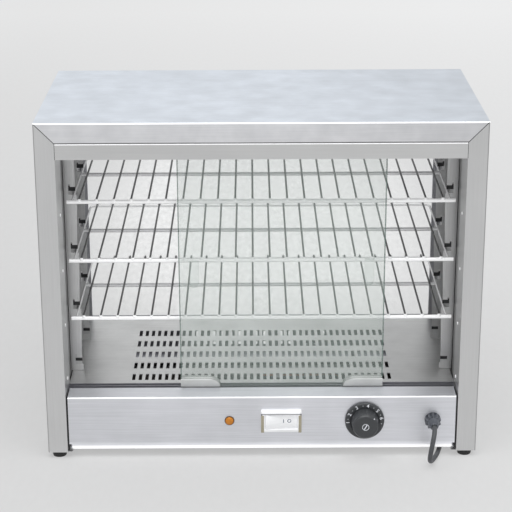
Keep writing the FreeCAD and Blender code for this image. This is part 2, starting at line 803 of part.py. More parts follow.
def shelf(name, level):
    """Wire shelf: round frame, one crossbar and a row of wires welded on top."""
    body = new_body(name)
    wire_front = track_front + track_depth + size("shelf_gap") + wire_radius
    wire_back = pane_front - skin - wire_radius
    z = first_wire + size("level_pitch") * level
    centre_y = (wire_front + wire_back) / 2
    half_deep = (wire_back - wire_front) / 2
    corner = size("shelf_corner")
    path = sketch_on(body, "xy", 0)
    draw_rounded_frame(path, wire_x, half_deep, corner)
    section = sketch_on(body, "yz", 0)
    draw_circle(section, (-half_deep, 0), wire_radius)
    frame = body.newObject("PartDesign::AdditivePipe", "Pipe")
    frame.Profile = section
    frame.Spine = (path, [f"Edge{number}" for number in range(1, 9)])
    pad(body, "yz", [((size("cross_setback"), 0), size("cross_wire") / 2)], -wire_x, wire_x * 2)
    grid_z = wire_radius + size("grid_wire") / 2 - size("weld_depth")
    first_x = -(wire_x - size("grid_margin"))
    pitch = first_x * -2 / (size("grid_count") - 1)
    reach = half_deep + wire_radius * 0.6
    wire = pad(body, "xz", [((first_x, grid_z), size("grid_wire") / 2)], -reach, reach * 2)
    repeat(body, wire, size("grid_count"), pitch, "H_Axis")
    return place(body, 0, centre_y, z)


def draw_rounded_frame(sketch, half_wide, half_deep, corner):
    """Closed path: four straight runs with a quarter circle at each corner."""
    x = half_wide.value
    y = half_deep.value
    r = corner.value
    centres = [(x - r, y - r), (r - x, y - r), (r - x, r - y), (x - r, r - y)]
    place_of = [(half_wide - corner, half_deep - corner), (corner - half_wide, half_deep - corner),
                (corner - half_wide, corner - half_deep), (half_wide - corner, corner - half_deep)]
    arcs = []
    for quarter, (cx, cy) in enumerate(centres):
        circle = Part.Circle(Vector(cx, cy, 0), Vector(0, 0, 1), r)
        start = quarter * math.pi / 2
        arcs.append(sketch.addGeometry(Part.ArcOfCircle(circle, start, start + math.pi / 2), False))
    lines = []
    for quarter in range(4):
        first = sketch.Geometry[arcs[quarter]].EndPoint
        second = sketch.Geometry[arcs[(quarter + 1) % 4]].StartPoint
        lines.append(sketch.addGeometry(Part.LineSegment(first, second), False))
    for quarter in range(4):
        after = arcs[(quarter + 1) % 4]
        sketch.addConstraint(Sketcher.Constraint("Tangent", arcs[quarter], 2, lines[quarter], 1))
        sketch.addConstraint(Sketcher.Constraint("Tangent", lines[quarter], 2, after, 1))
        fix_point(sketch, arcs[quarter], 3, place_of[quarter])
    number = sketch.addConstraint(Sketcher.Constraint("Radius", arcs[0], r))
    sketch.setExpression(f"Constraints[{number}]", corner.formula)


# ---------------------------------------------------------------- controls

def pilot_lamp():
    x = size("lamp_place")
    reach = size("lamp_bezel_depth")
    bezel = new_body("pilot_lamp_bezel")
    turn(bezel, [(size("lamp_radius"), 0), (size("lamp_bezel"), 0),
                 (size("lamp_bezel"), reach * 0.6), (size("lamp_radius") + 0.8, reach),
                 (size("lamp_radius"), reach)])
    place(bezel, x, panel_face, control_z, rotation=TOWARDS["-y"])
    lens = new_body("pilot_lamp_lens")
    radius = size("lamp_radius") - 0.05
    tall = size("lamp_lens_reach")
    turn(lens, [(0, -skin), (radius, -skin), (radius, tall * 0.45), (radius * 0.86, tall * 0.75),
                (radius * 0.5, tall * 0.95), (0, tall)])
    place(lens, x, panel_face, control_z, rotation=TOWARDS["-y"])
    holder = new_body("pilot_lamp_body")
    turn(holder, [(0, skin), (radius, skin), (radius, size("lamp_body_length")),
                  (0, size("lamp_body_length"))])
    place(holder, x, panel_face, control_z, rotation=TOWARDS["+y"])
    pad(holder, "xy", [((0, 0), size("lamp_bezel"))], skin, size("lamp_collar"))


def switch_frame():
    """Rim on the panel and the box behind it, open for the rocker."""
    body = new_body("switch_frame")
    x = size("switch_place")
    wide = size("switch_width") / 2
    tall = size("switch_height") / 2
    rim_front = panel_face - size("switch_proud")
    pad(body, "xz", [box_points((x - wide, control_z - tall), (x + wide, control_z + tall))],
        rim_front, size("switch_proud"))
    round_edges(body, size("switch_rim"), lambda middle, way: (
        near(middle.y, rim_front) and abs(way.x) > 0.9))
    body_wide = size("switch_body_width") / 2
    body_tall = size("switch_body_height") / 2
    pad(body, "xz", [box_points((x - body_wide, control_z - body_tall),
                                (x + body_wide, control_z + body_tall))],
        panel_face, size("switch_body_depth"))
    well_wide = size("rocker_width") / 2 + size("rocker_gap")
    well_tall = size("rocker_height") / 2 + size("rocker_gap")
    pocket(body, "xz", [box_points((x - well_wide, control_z - well_tall),
                                   (x + well_wide, control_z + well_tall))],
           rim_front, size("switch_proud") + size("switch_body_depth") * 0.5)
    return body


def switch_rocker():
    """Rocker that tips left and right about an upright pivot."""
    body = new_body("switch_rocker")
    wide = size("rocker_width") / 2 - 0.6
    tall = size("rocker_height") / 2
    proud = size("switch_proud") - 1.5
    plan = [(-wide, 1), (-wide, -proud), (0, -proud + 1.5), (wide, -proud), (wide, 1),
            (wide * 0.3, 7), (-wide * 0.3, 7)]
    pad(body, "xy", [plan], -tall, tall * 2)
    body.Placement = Placement(Vector(), Rotation(Vector(0, 0, 1), 0))
    body.setExpression("Placement.Rotation.Axis.z", "1")
    body.setExpression("Placement.Rotation.Angle", "Sizes.rocker_tilt")
    for axis, value in zip("xyz", (size("switch_place"), panel_face, control_z)):
        body.setExpression(f"Placement.Base.{axis}", as_size(value).formula)
    return body


def thermostat():
    """Knob with its dial, the shaft it sits on, and the switch body behind the panel."""
    x = size("knob_place")
    knob = new_body("thermostat_knob")
    gap = size("knob_gap")
    dial = gap + size("dial_thick")
    reach = size("knob_reach") + size("panel_inset")
    bore = size("shaft_radius")
    turn(knob, [
        (bore, gap), (size("dial_radius"), gap), (size("dial_radius"), dial - 1.5),
        (size("dial_radius") - 1.5, dial), (size("grip_radius"), dial),
        (size("grip_front") + 0.6, reach - 2.2), (size("grip_front") - 2, reach),
        (0, reach), (0, reach - 6), (bore, reach - 6),
    ])
    place(knob, x, panel_face, control_z, rotation=TOWARDS["-y"])
    body_front = panel_face + skin
    shaft = rod("thermostat_shaft", size("shaft_radius") - 0.02,
                (x, panel_face - reach + 6.05, control_z),
                reach - 6.05 + skin + size("shaft_length") - 6, "+y")
    keep(shaft, "thermostat_shaft")
    wide = size("thermostat_width") / 2
    box = block("thermostat_box", (x - wide, body_front, control_z - wide),
                (x + wide, body_front + size("thermostat_depth"), control_z + wide))
    bore_rod = rod("thermostat_bore", size("shaft_radius") + size("shaft_gap"),
                   (x, body_front - 1, control_z), size("shaft_length"), "+y")
    keep(cut("thermostat_body", box, [bore_rod]), "thermostat_body")


def temperature_probe():
    """Liquid bulb clipped under the floor plate, fed by a capillary from the thermostat."""
    wide = size("thermostat_width") / 2
    bulb_z = deck - skin - size("bulb_radius") - 2
    bulb_y = front + size("first_slot_row") + size("slot_row_pitch") / 2
    bulb_x = size("knob_place") - size("bulb_length") - 60
    keep(rod("thermostat_bulb", size("bulb_radius"), (bulb_x, bulb_y, bulb_z),
             size("bulb_length"), "+x"), "thermostat_bulb")
    end = bulb_x + size("bulb_length")
    start = Vector(size("knob_place").value, (panel_face + skin + size("thermostat_depth")).value,
                   (control_z + wide / 2).value)
    goal = Vector(end.value, bulb_y.value, bulb_z.value)
    route = [start, start + Vector(0, 12, 0), start + Vector(-14, 30, 6),
             Vector(goal.x + 22, goal.y, goal.z), goal]
    feature("thermostat_capillary", tube_shape(route, size("capillary_radius").value, 6,
                                               "thermostat_capillary"))
    clips = []
    for share in (0.25, 0.75):
        x = bulb_x + size("bulb_length") * share
        outer = block(f"clip_block_{share}", (x - 4, bulb_y - size("bulb_radius") - 1,
                                              bulb_z - size("bulb_radius") - 1),
                      (x + 4, bulb_y + size("bulb_radius") + 1, deck - skin))
        hole = rod(f"clip_hole_{share}", size("bulb_radius") + 0.05, (x - 5, bulb_y, bulb_z), 10,
                   "+x")
        clips.append(cut(f"clip_{share}", outer, [hole]))
    group("bulb_clips", clips)


# ---------------------------------------------------------------- heating

def pass_places():
    first = front + size("element_first_pass")
    return [first + size("element_pass_pitch") * number for number in range(4)]


def heating_element():
    """Sheathed element bent into four long passes."""
    z = base + size("element_height")
    ys = pass_places()
    corners = []
    for number, y in enumerate(ys):
        way = 1 if number % 2 == 0 else -1
        corners += [(element_run * way, y), (-element_run * way, y)]
    corners[0] = (element_end, ys[0])
    corners[-1] = (element_end, ys[-1])
    points = [Vector(as_size(x).value, y.value, z.value) for x, y in corners]
    shape = tube_shape(points, size("element_radius").value, size("element_bend").value,
                       "heating_element")
    feature("heating_element", shape)


def element_brackets():
    """Upright plates on the heat shield, drilled for the four passes."""
    z = base + size("element_height")
    ys = pass_places()
    brackets = []
    for number in range(int(SIZES["bracket_count"])):
        x = size("bracket_pitch") * (number - 1) - size("bracket_thick") / 2
        plate = block(f"bracket_plate_{number}",
                      (x, ys[0] - 12, base + size("shield_height") + skin),
                      (x + size("bracket_thick"), ys[-1] + 12, z + 9))
        holes = [rod(f"bracket_hole_{number}_{index}", size("element_radius") + size("bracket_gap"),
                     (x - 1, y, z), size("bracket_thick") + 2, "+x")
                 for index, y in enumerate(ys)]
        brackets.append(cut(f"bracket_{number}", plate, holes))
    return group("element_brackets", brackets)


def heat_shield():
    """Reflector tray over the base pan, standing on its own folded edges."""
    body = new_body("heat_shield")
    low = base + skin * 2
    high = base + size("shield_height") + skin
    start = front + size("shield_front")
    end = start + size("shield_depth")
    section = [
        (start, low), (start, high), (end, high), (end, low), (end - skin, low),
        (end - skin, high - skin), (start + skin, high - skin), (start + skin, low),
    ]
    wide = inside - size("shield_side_gap")
    pad(body, "yz", [section], -wide, wide * 2)
    return body


# ---------------------------------------------------------------- wiring

def terminal_block():
    x = terminal_x
    low_y = front + size("terminal_from_front")
    wide = size("terminal_width") / 2
    low_z = base + skin * 2
    box = block("terminal_box", (x - wide, low_y, low_z),
                (x + wide, low_y + size("terminal_depth"), low_z + size("terminal_height")))
    wells = [rod(f"terminal_well_{number}", 2,
                 (x + (number - 1) * 8, low_y + size("terminal_depth") / 2,
                  low_z + size("terminal_height") - 4), 5, "+z") for number in range(3)]
    keep(cut("terminal_block", box, wells), "terminal_block")


def earth_stud():
    x = inside - size("stud_from_side")
    y = front + size("stud_from_front")
    low = base + skin * 2
    stud = rod("stud_rod", size("stud_radius"), (x, y, low), size("stud_height"), "+z")
    nuts = [rod(f"stud_nut_{number}", size("stud_radius") * 1.9,
                (x, y, low + number * (size("stud_height") / 2)), 3, "+z")
            for number in range(2)]
    keep(join("earth_stud", [stud] + nuts), "earth_stud")


def wiring():
    """Insulated cores between the lead, the switch, the lamp, the thermostat and the element."""
    lift = Vector(0, 0, 10)
    radius = size("core_radius").value
    behind = front.value
    z = control_z.value
    switch = Vector(size("switch_place").value,
                    (panel_face + size("switch_body_depth")).value, z)
    lamp = Vector(size("lamp_place").value, (panel_face + size("lamp_body_length")).value, z)
    heat = Vector(size("knob_place").value,
                  (panel_face + skin + size("thermostat_depth")).value, z)
    block_z = (base + skin * 2 + size("terminal_height")).value
    block_y = behind + SIZES["terminal_from_front"] + SIZES["terminal_depth"] / 2
    block_x = terminal_x.value
    element_x = element_end.value
    element_z = (base + size("element_height")).value
    ys = pass_places()
    routes = [
        [switch + Vector(12, 0, 4), switch + Vector(12, 12, 4),
         Vector(block_x - 70, block_y, block_z + 26), Vector(block_x - 8, block_y, block_z + 22),
         Vector(block_x - 8, block_y, block_z)],
        [lamp, lamp + Vector(0, 12, 0), switch + Vector(-24, 22, -3),
         switch + Vector(-12, 10, -3), switch + Vector(-12, 0, -3)],
        [heat + Vector(-6, 0, -8), heat + Vector(-6, 9, -8), switch + Vector(40, 22, -9),
         switch + Vector(2, 10, -8), switch + Vector(2, 0, -8)],
        [heat + Vector(6, 0, -2), heat + Vector(6, 9, -2),
         Vector(element_x + 14, ys[0].value - 16, element_z + 3),
         Vector(element_x + 14, ys[0].value, element_z), Vector(element_x, ys[0].value, element_z)],
        [Vector(block_x + 8, block_y, block_z), Vector(block_x + 8, block_y, block_z) + lift,
         Vector(element_x + 12, block_y + 40, block_z + 22),
         Vector(element_x + 18, ys[-1].value - 24, element_z),
         Vector(element_x + 14, ys[-1].value, element_z),
         Vector(element_x, ys[-1].value, element_z)],
        [Vector(gland_x.value, (panel_face + skin + size("gland_tail")).value, z),
         Vector(gland_x.value, block_y - 8, z - 4),
         Vector(block_x + 22, block_y, block_z + 12), Vector(block_x, block_y, block_z + 14),
         Vector(block_x, block_y, block_z)],
    ]
    cores = [tube_shape(route, radius, 6, f"core {number}") for number, route in enumerate(routes)]
    feature("wiring_cores", Part.makeCompound(cores))


# ---------------------------------------------------------------- gland, lead and plug

def cable_gland():
    """Ribbed collar and tapered sleeve outside, thread inside the panel."""
    body = new_body("cable_gland")
    bore = size("cord_diameter") / 2
    radius = size("gland_radius")
    collar = size("gland_collar")
    reach = size("gland_reach") + size("panel_inset")
    turn(body, [
        (bore, -skin - size("gland_tail")), (size("gland_thread"), -skin - size("gland_tail")),
        (size("gland_thread"), 0), (radius, 0), (radius, collar - 2), (radius - 1.5, collar),
        (size("gland_mouth") + 3, reach - 6), (size("gland_mouth"), reach), (bore, reach),
    ])
    rib = pocket(body, "xy", [((radius + 0.4, 0), size("gland_rib"))], 1, collar - 2.5)
    ring = body.newObject("PartDesign::PolarPattern", "Ring")
    ring.Originals = [rib]
    ring.Axis = (rib.Profile[0], ["N_Axis"])
    ring.Angle = 360
    bind(ring, Occurrences=size("gland_rib_count"))
    body.Tip = ring
    place(body, gland_x, panel_face, control_z, rotation=TOWARDS["-y"])
    nut = new_body("gland_nut")
    outer = size("gland_nut_radius")
    hexagon = [(outer * round(math.cos(math.radians(60 * side)), 6),
                outer * round(math.sin(math.radians(60 * side)), 6)) for side in range(6)]
    pad(nut, "xy", [hexagon, ((0, 0), size("gland_thread") + 0.05)], 0, size("gland_nut_thick"))
    place(nut, gland_x, panel_face + skin, control_z, rotation=TOWARDS["+y"])


def coil_centre():
    """Middle of the coil, behind the case and in line with the lead."""
    outer = size("coil_across") + size("coil_wide") / 2
    x = gland_x + size("coil_offset") - size("coil_across")
    return Vector(x.value, (back + size("coil_clearance") + outer).value, 0)


def lead_route():
    """Points of the lead, from the gland under the case to the coil's lowest turn."""
    mouth = Vector(gland_x.value, (front - size("gland_reach")).value, control_z.value)
    floor = size("cord_diameter").value / 2
    x, y, z = mouth
    centre = coil_centre()
    turn_x = centre.x + size("coil_across").value
    turn_z = floor + size("coil_lift").value
    return [
        mouth, Vector(x - 0.5, y - 10, z - 1), Vector(x - 2.5, y - 19, z - 6.5),
        Vector(x - 5, y - 24, z - 17.5), Vector(x - 7, y - 24, z - 30.5),
        Vector(x - 7.5, y - 19, z - 42.5), Vector(x - 5, y - 8, z - 52),
        Vector(x + 1, y + 8, floor), Vector(x + 10, y + 30, floor),
        Vector(x + 17, y + 60, floor), Vector(x + 19, y + 98, floor),
        Vector(x + 17, y + 150, floor), Vector(x + 10, y + 212, floor),
        Vector(x + 7, y + 276, floor), Vector(x + 9, y + 338, floor),
        Vector(turn_x, centre.y - 28, turn_z), Vector(turn_x, centre.y, turn_z),
    ]


def tail_route():
    """Points of the short end that leaves the coil's far side for the plug."""
    x, y, _ = coil_centre()
    y = y + size("coil_across").value
    z = (size("coil_lift") + size("coil_high") / 2).value
    axle = size("plug_radius").value
    return [Vector(x - 14, y, z), Vector(x - 36, y - 1, z + 2), Vector(x - 58, y - 6, axle - 1),
            Vector(x - 78, y - 9, axle), Vector(x - 96, y - 9, axle)]


def mains_lead():
    """Tube under the case, the put-away coil with its tie, the tail and the plug."""
    radius = size("cord_diameter").value / 2
    feature("power_cord", tube_shape(lead_route(), radius, name="power_cord"))
    centre = coil_centre()
    inner = size("coil_across") - size("coil_wide") / 2
    outer = size("coil_across") + size("coil_wide") / 2
    low = size("coil_lift")
    high = low + size("coil_high")
    coil = new_body("cord_coil")
    turn(coil, [(inner, low), (outer, low), (outer, high), (inner, high)])
    round_edges(coil, size("cord_diameter") * 0.4, lambda middle, way: abs(way.z) < 0.5)
    coil.Placement.Base = centre
    slack = size("tie_slack")
    thick = size("tie_thick")
    hole = box_points((inner - slack, low - seam), (outer + slack, high + slack))
    rim = box_points((inner - slack - thick, low - seam - thick),
                     (outer + slack + thick, high + slack + thick))
    tie = new_body("cord_tie")
    pad(tie, "xz", [rim, hole], -size("tie_width") / 2, size("tie_width"))
    tie.Placement = Placement(centre, Rotation(Vector(0, 0, 1), size("tie_turn").value))
    tail = tail_route()
    feature("cord_tail", tube_shape(tail, radius, name="cord_tail"))
    plug(tail[-1])


def plug(end):
    """Moulded round plug with a tapered neck and two pins, lying on its side."""
    body = new_body("plug_body")
    neck = size("plug_neck")
    shell = size("plug_radius")
    length = neck + size("plug_length")
    turn(body, [(0, 0), (size("plug_neck_radius"), 0), (size("plug_neck_radius") + 3, neck - 4),
                (shell * 0.7, neck), (shell, neck + 10), (shell, length - 2), (shell - 2, length),
                (0, length)])
    body.Placement = Placement(end, TOWARDS["-x"])
    pins = []
    face_x = end.x - length.value
    for side in (-1, 1):
        pin = doc.addObject("Part::Cylinder", f"pin_{side + 1}")
        bind(pin, Radius=size("pin_radius"), Height=size("pin_length"))
        pin.Placement = Placement(Vector(face_x, end.y + side * SIZES["pin_spacing"] / 2, end.z),
                                  TOWARDS["-x"])
        pins.append(pin)
    group("plug_pins", pins)


# ---------------------------------------------------------------- assembly

top_panel()
side_panel("left_side_panel", -1)
side_panel("right_side_panel", 1)
inner_wall("left_inner_wall", -1)
inner_wall("right_inner_wall", 1)
wall_rivets()
ceiling_liner()
header("front_header", front, 1, size("header_lip"))
header("rear_header", back, -1)
track("upper_door_track", track_front, upper_track_top, upper_track_bottom, 2, groove)
track("lower_door_track", track_front, track_bottom, deck, 2, groove)
track("rear_pane_sill", pane_front, pane_track_bottom, deck, 1, size("pane_groove"))
track("rear_pane_head", pane_front, upper_track_top, upper_track_bottom, 1, size("pane_groove"))
pane_post("rear_pane_post_left", -1)
pane_post("rear_pane_post_right", 1)
rear_glass()
control_panel()
rear_base_panel()
base_pan()
floor_plate()
glass_door("left_glass_door", front_groove, True)
glass_door("right_glass_door", rear_groove, False)
door_shoes("left_door_shoes", front_groove)
door_shoes("right_door_shoes", rear_groove)
for number, name in enumerate(("lower_shelf", "middle_shelf", "upper_shelf"), start=1):
    shelf(name, number)
pilot_lamp()
switch_frame()
switch_rocker()
thermostat()
temperature_probe()
heat_shield()
heating_element()
element_brackets()
terminal_block()
earth_stud()
wiring()
for side, across in ((-1, "left"), (1, "right")):
    foot(f"front_{across}_foot", side, front + size("foot_front"))
    foot(f"rear_{across}_foot", side, back - size("foot_front"))
foot_screws()
cable_gland()
mains_lead()

doc.recompute()

for item in doc.Objects:
    if "Invalid" in item.State or "Error" in item.State:
        raise RuntimeError(f"{item.Label} failed: {item.State}")
    if item.TypeId == "PartDesign::Pocket":
        removed = item.BaseFeature.Shape.Volume - item.Shape.Volume
        if removed <= 0:
            raise RuntimeError(f"{item.Label} in {item.getParentGeoFeatureGroup().Label} cuts nothing")
for item in nodes:
    if item.Shape.isNull() or not item.Shape.isValid():
        raise RuntimeError(f"{item.Label} has no valid shape")

os.makedirs("parts", exist_ok=True)
for item in nodes:
    item.Shape.exportStep(f"parts/{item.Label}.step")
print(len(nodes), "sub-parts written")
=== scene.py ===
import math

import bmesh
import bpy
import numpy as np
from mathutils import Matrix, Vector


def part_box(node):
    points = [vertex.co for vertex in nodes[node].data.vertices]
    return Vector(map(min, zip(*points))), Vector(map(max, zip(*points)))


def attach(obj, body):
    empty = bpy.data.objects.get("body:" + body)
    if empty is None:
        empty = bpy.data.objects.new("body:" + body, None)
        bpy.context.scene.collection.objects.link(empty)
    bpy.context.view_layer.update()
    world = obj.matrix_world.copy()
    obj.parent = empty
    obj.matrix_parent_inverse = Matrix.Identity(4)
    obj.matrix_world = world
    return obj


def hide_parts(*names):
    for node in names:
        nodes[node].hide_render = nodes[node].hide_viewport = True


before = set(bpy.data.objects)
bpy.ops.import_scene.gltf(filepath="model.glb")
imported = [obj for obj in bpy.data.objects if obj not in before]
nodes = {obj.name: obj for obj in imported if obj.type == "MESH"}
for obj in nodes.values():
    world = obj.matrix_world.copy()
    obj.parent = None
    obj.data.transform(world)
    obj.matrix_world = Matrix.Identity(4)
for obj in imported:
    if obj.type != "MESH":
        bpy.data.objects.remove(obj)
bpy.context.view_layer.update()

# ---------------------------------------------------------------- mains lead
# Three-core mains lead in a grey sheath, 7 mm thick and about 1.8 m long. It leaves the
# gland, drops to the worktop, runs back under the case and is put away in a tied coil.

LEAD_THICK = 0.007


def raised(tree, kind, operation=None, **values):
    """Shader node of that kind; values are its inputs (i0 to i2 by number) or settings."""
    node = tree.nodes.new("ShaderNode" + kind)
    if operation:
        node.operation = operation
    for key, value in values.items():
        socket = int(key[1:]) if key in ("i0", "i1", "i2") else key.replace("_", " ")
        if isinstance(socket, int) or socket in node.inputs:
            node.inputs[socket].default_value = value
        else:
            setattr(node, key, value)
    return node


def wired(tree, *wires):
    """Join nodes; each wire is (node, its output, node, its input)."""
    for source, output, target, entry in wires:
        tree.links.new(source.outputs[output], target.inputs[entry])


def effect(name, inputs, outputs):
    """Empty shader node group; inputs and outputs give each socket's name and type."""
    group = bpy.data.node_groups.new(name, "ShaderNodeTree")
    for way, sockets in (("INPUT", inputs), ("OUTPUT", outputs)):
        for label, kind in sockets.items():
            group.interface.new_socket(label, in_out=way, socket_type="NodeSocket" + kind)
    return group, group.nodes.new("NodeGroupInput"), group.nodes.new("NodeGroupOutput")


# Moulded grain: fine pits and a slow change of tone, for plastic and rubber.
grain, grain_in, grain_out = effect(
    "moulded_grain", {"Colour": "Color", "Size": "Float", "Change": "Float"},
    {"Colour": "Color", "Height": "Float", "Roughness": "Float"})
grain_place = raised(grain, "TexCoord")
grain_pits = raised(grain, "TexNoise", Detail=3.0)
grain_tone = raised(grain, "TexNoise", Scale=28.0, Detail=3.0)
grain_low = raised(grain, "Math", "SUBTRACT", i0=1.0)
grain_mix = raised(grain, "MapRange", From_Min=0.3, From_Max=0.7)
grain_tint = raised(grain, "VectorMath", "SCALE")
grain_rough = raised(grain, "MapRange", To_Min=0.42, To_Max=0.60)
wired(grain,
      (grain_place, "Object", grain_pits, "Vector"),
      (grain_place, "Object", grain_tone, "Vector"), (grain_in, "Size", grain_pits, "Scale"),
      (grain_in, "Change", grain_low, 1), (grain_tone, "Fac", grain_mix, "Value"),
      (grain_low, 0, grain_mix, "To Min"), (grain_mix, "Result", grain_tint, "Scale"),
      (grain_in, "Colour", grain_tint, 0), (grain_tone, "Fac", grain_rough, "Value"),
      (grain_tint, "Vector", grain_out, "Colour"), (grain_pits, "Fac", grain_out, "Height"),
      (grain_rough, "Result", grain_out, "Roughness"))


def finish_of(name, metallic=0.0, roughness=0.5, **sockets):
    """New material with one Principled shader, and that shader."""
    material = bpy.data.materials.new(name)
    material.use_nodes = True
    shader = material.node_tree.nodes["Principled BSDF"]
    shader.inputs["Metallic"].default_value = metallic
    shader.inputs["Roughness"].default_value = roughness
    for key, value in sockets.items():
        shader.inputs[key.replace("_", " ")].default_value = value
    return material, shader


def placed(material, group, **values):
    """That node group, placed in a material with its own values."""
    node = material.node_tree.nodes.new("ShaderNodeGroup")
    node.node_tree = group
    for key, value in values.items():
        node.inputs[key.replace("_", " ")].default_value = value
    return node


def bumped(material, relief, shader, depth):
    """Bump of that depth in metres from a group's height to the shader's normal."""
    bump = raised(material.node_tree, "Bump", Strength=1.0, Distance=depth)
    wired(material.node_tree, (relief, "Height", bump, "Height"),
          (bump, "Normal", shader, "Normal"))


def shaded(tree, colour, axis, span, factors, facing=None):
    """Colour times a factor that changes between two places on an axis.

    With facing, only faces that look along that axis are changed.
    """
    place = raised(tree, "TexCoord")
    apart = raised(tree, "SeparateXYZ")
    change = raised(tree, "MapRange", interpolation_type="SMOOTHSTEP", From_Min=span[0],
                    From_Max=span[1], To_Min=factors[0], To_Max=factors[1])
    scale = raised(tree, "VectorMath", "SCALE")
    wired(tree,
          (place, "Object", apart, 0), (apart, axis.upper(), change, "Value"),
          (change, "Result", scale, "Scale"))
    tree.links.new(colour, scale.inputs[0])
    if facing is None:
        return scale.outputs["Vector"]
    look = raised(tree, "SeparateXYZ")
    size = raised(tree, "Math", "ABSOLUTE")
    chosen = raised(tree, "Mix", data_type="RGBA")
    wired(tree,
          (place, "Normal", look, 0), (look, facing.upper(), size, 0),
          (size, 0, chosen, "Factor"))
    tree.links.new(colour, chosen.inputs["A"])
    wired(tree, (scale, "Vector", chosen, "B"))
    return chosen.outputs["Result"]


def moulded(name, colour, size=900.0, change=0.18, depth=0.00004, shades=(), **sockets):
    """Plastic, rubber or plain metal of one colour with moulded grain and any painted light and
    shade.
    """
    material, shader = finish_of(name, **sockets)
    node = placed(material, grain, Colour=(*colour, 1), Size=size, Change=change)
    tint = node.outputs["Colour"]
    for shade in shades:
        tint = shaded(material.node_tree, tint, *shade)
    material.node_tree.links.new(tint, shader.inputs["Base Color"])
    wired(material.node_tree, (node, "Roughness", shader, "Roughness"))
    bumped(material, node, shader, depth)
    return material


def wear(material, *names):
    """Give the CAD nodes of those names that material."""
    for name in names:
        for place in nodes[name].material_slots:
            place.link = "OBJECT"
            place.material = material


gland_low, gland_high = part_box("cable_gland")
gland_centre = (gland_low + gland_high) / 2
mouth = Vector((gland_centre.x, gland_low.y, gland_centre.z))
# Out of the gland, down to the worktop and back under the case; then out of the coil.
under_case = [
    (0.2515, -0.191, 0.0585), (0.2495, -0.200, 0.053), (0.247, -0.205, 0.042),
    (0.245, -0.205, 0.029), (0.2445, -0.200, 0.017), (0.247, -0.189, 0.0075),
    (0.253, -0.173, 0.0035), (0.262, -0.151, 0.0035), (0.269, -0.121, 0.0035),
    (0.271, -0.083, 0.0035), (0.269, -0.031, 0.0035), (0.262, 0.031, 0.0035),
    (0.259, 0.095, 0.0035), (0.261, 0.157, 0.0035), (0.264, 0.20775, 0.0048),
]
to_plug = [
    (0.2125, 0.27325, 0.01205), (0.1905, 0.27225, 0.01405), (0.1685, 0.26725, 0.017),
    (0.1485, 0.26425, 0.018), (0.1305, 0.26425, 0.018),
]
coil_low, coil_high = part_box("cord_coil")
coil_centre = (coil_low + coil_high) / 2
COIL_TURNS = 5.25
TURN_POINTS = 16
coil_wide = coil_high.x - coil_centre.x
inner_ring = coil_wide - LEAD_THICK * 1.55
outer_ring = coil_wide - LEAD_THICK * 0.52
steps = np.arange(int(COIL_TURNS * TURN_POINTS) + 1) / TURN_POINTS
layer_low = coil_low.z + LEAD_THICK / 2
layer_step = (coil_high.z - coil_low.z - LEAD_THICK) / 2
# The turns lie in two rings side by side, outer then inner, on each of three layers.
ring = np.interp(steps % 2, [0, 0.8, 1, 1.8, 2], [outer_ring, outer_ring, inner_ring,
                                                  inner_ring, outer_ring])
height = layer_low + layer_step * np.interp(steps, [0, 1.8, 2, 3.8, 4, 5.25],
                                            [0, 0, 1, 1, 1.9, 2])
angle = 2 * math.pi * steps
coil_points = np.stack([coil_centre.x + ring * np.cos(angle),
                        coil_centre.y + ring * np.sin(angle), height], axis=1)
lead_points = [tuple(mouth)] + under_case + [tuple(p) for p in coil_points] + to_plug

lead_curve = bpy.data.curves.new("mains_lead", "CURVE")
lead_curve.dimensions = "3D"
lead_line = lead_curve.splines.new("NURBS")
lead_line.points.add(len(lead_points) - 1)
lead_line.points.foreach_set("co", [v for p in lead_points for v in (*p, 1.0)])
lead_line.order_u = 3
lead_line.use_endpoint_u = True
lead_line.resolution_u = 8
lead_curve.bevel_depth = LEAD_THICK / 2
lead_curve.bevel_resolution = 5
lead_curve.use_fill_caps = True
lead_curve.materials.append(moulded("grey_sheath", (0.075, 0.078, 0.085), size=700.0,
                                    roughness=0.45))


def shown(name, data):
    """New object of that data, linked to the scene."""
    thing = bpy.data.objects.new(name, data)
    bpy.context.scene.collection.objects.link(thing)
    return thing


mains_lead = shown("mains_lead", lead_curve)
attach(mains_lead, "case")
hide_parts("power_cord", "cord_coil", "cord_tail")
wear(moulded("tie_nylon", (0.02, 0.02, 0.022)), "cord_tie")

# ---------------------------------------------------------------- stage
# Plain pale floor under an even sky, one large soft lamp above the front, and a camera
# in front of the case that looks down on it.

FLOOR_REACH = 14.0
floor_mesh = bpy.data.meshes.new("floor")
floor_mesh.from_pydata([(x * FLOOR_REACH, y * FLOOR_REACH, 0)
                        for x, y in ((-1, -1), (1, -1), (1, 1), (-1, 1))], [], [(0, 1, 2, 3)])
floor_paint, floor_shader = finish_of("floor_paper", roughness=0.95, Specular_IOR_Level=0.05)
paper = floor_paint.node_tree
paper_end = paper.nodes["Material Output"]
floor_place = raised(paper, "TexCoord")
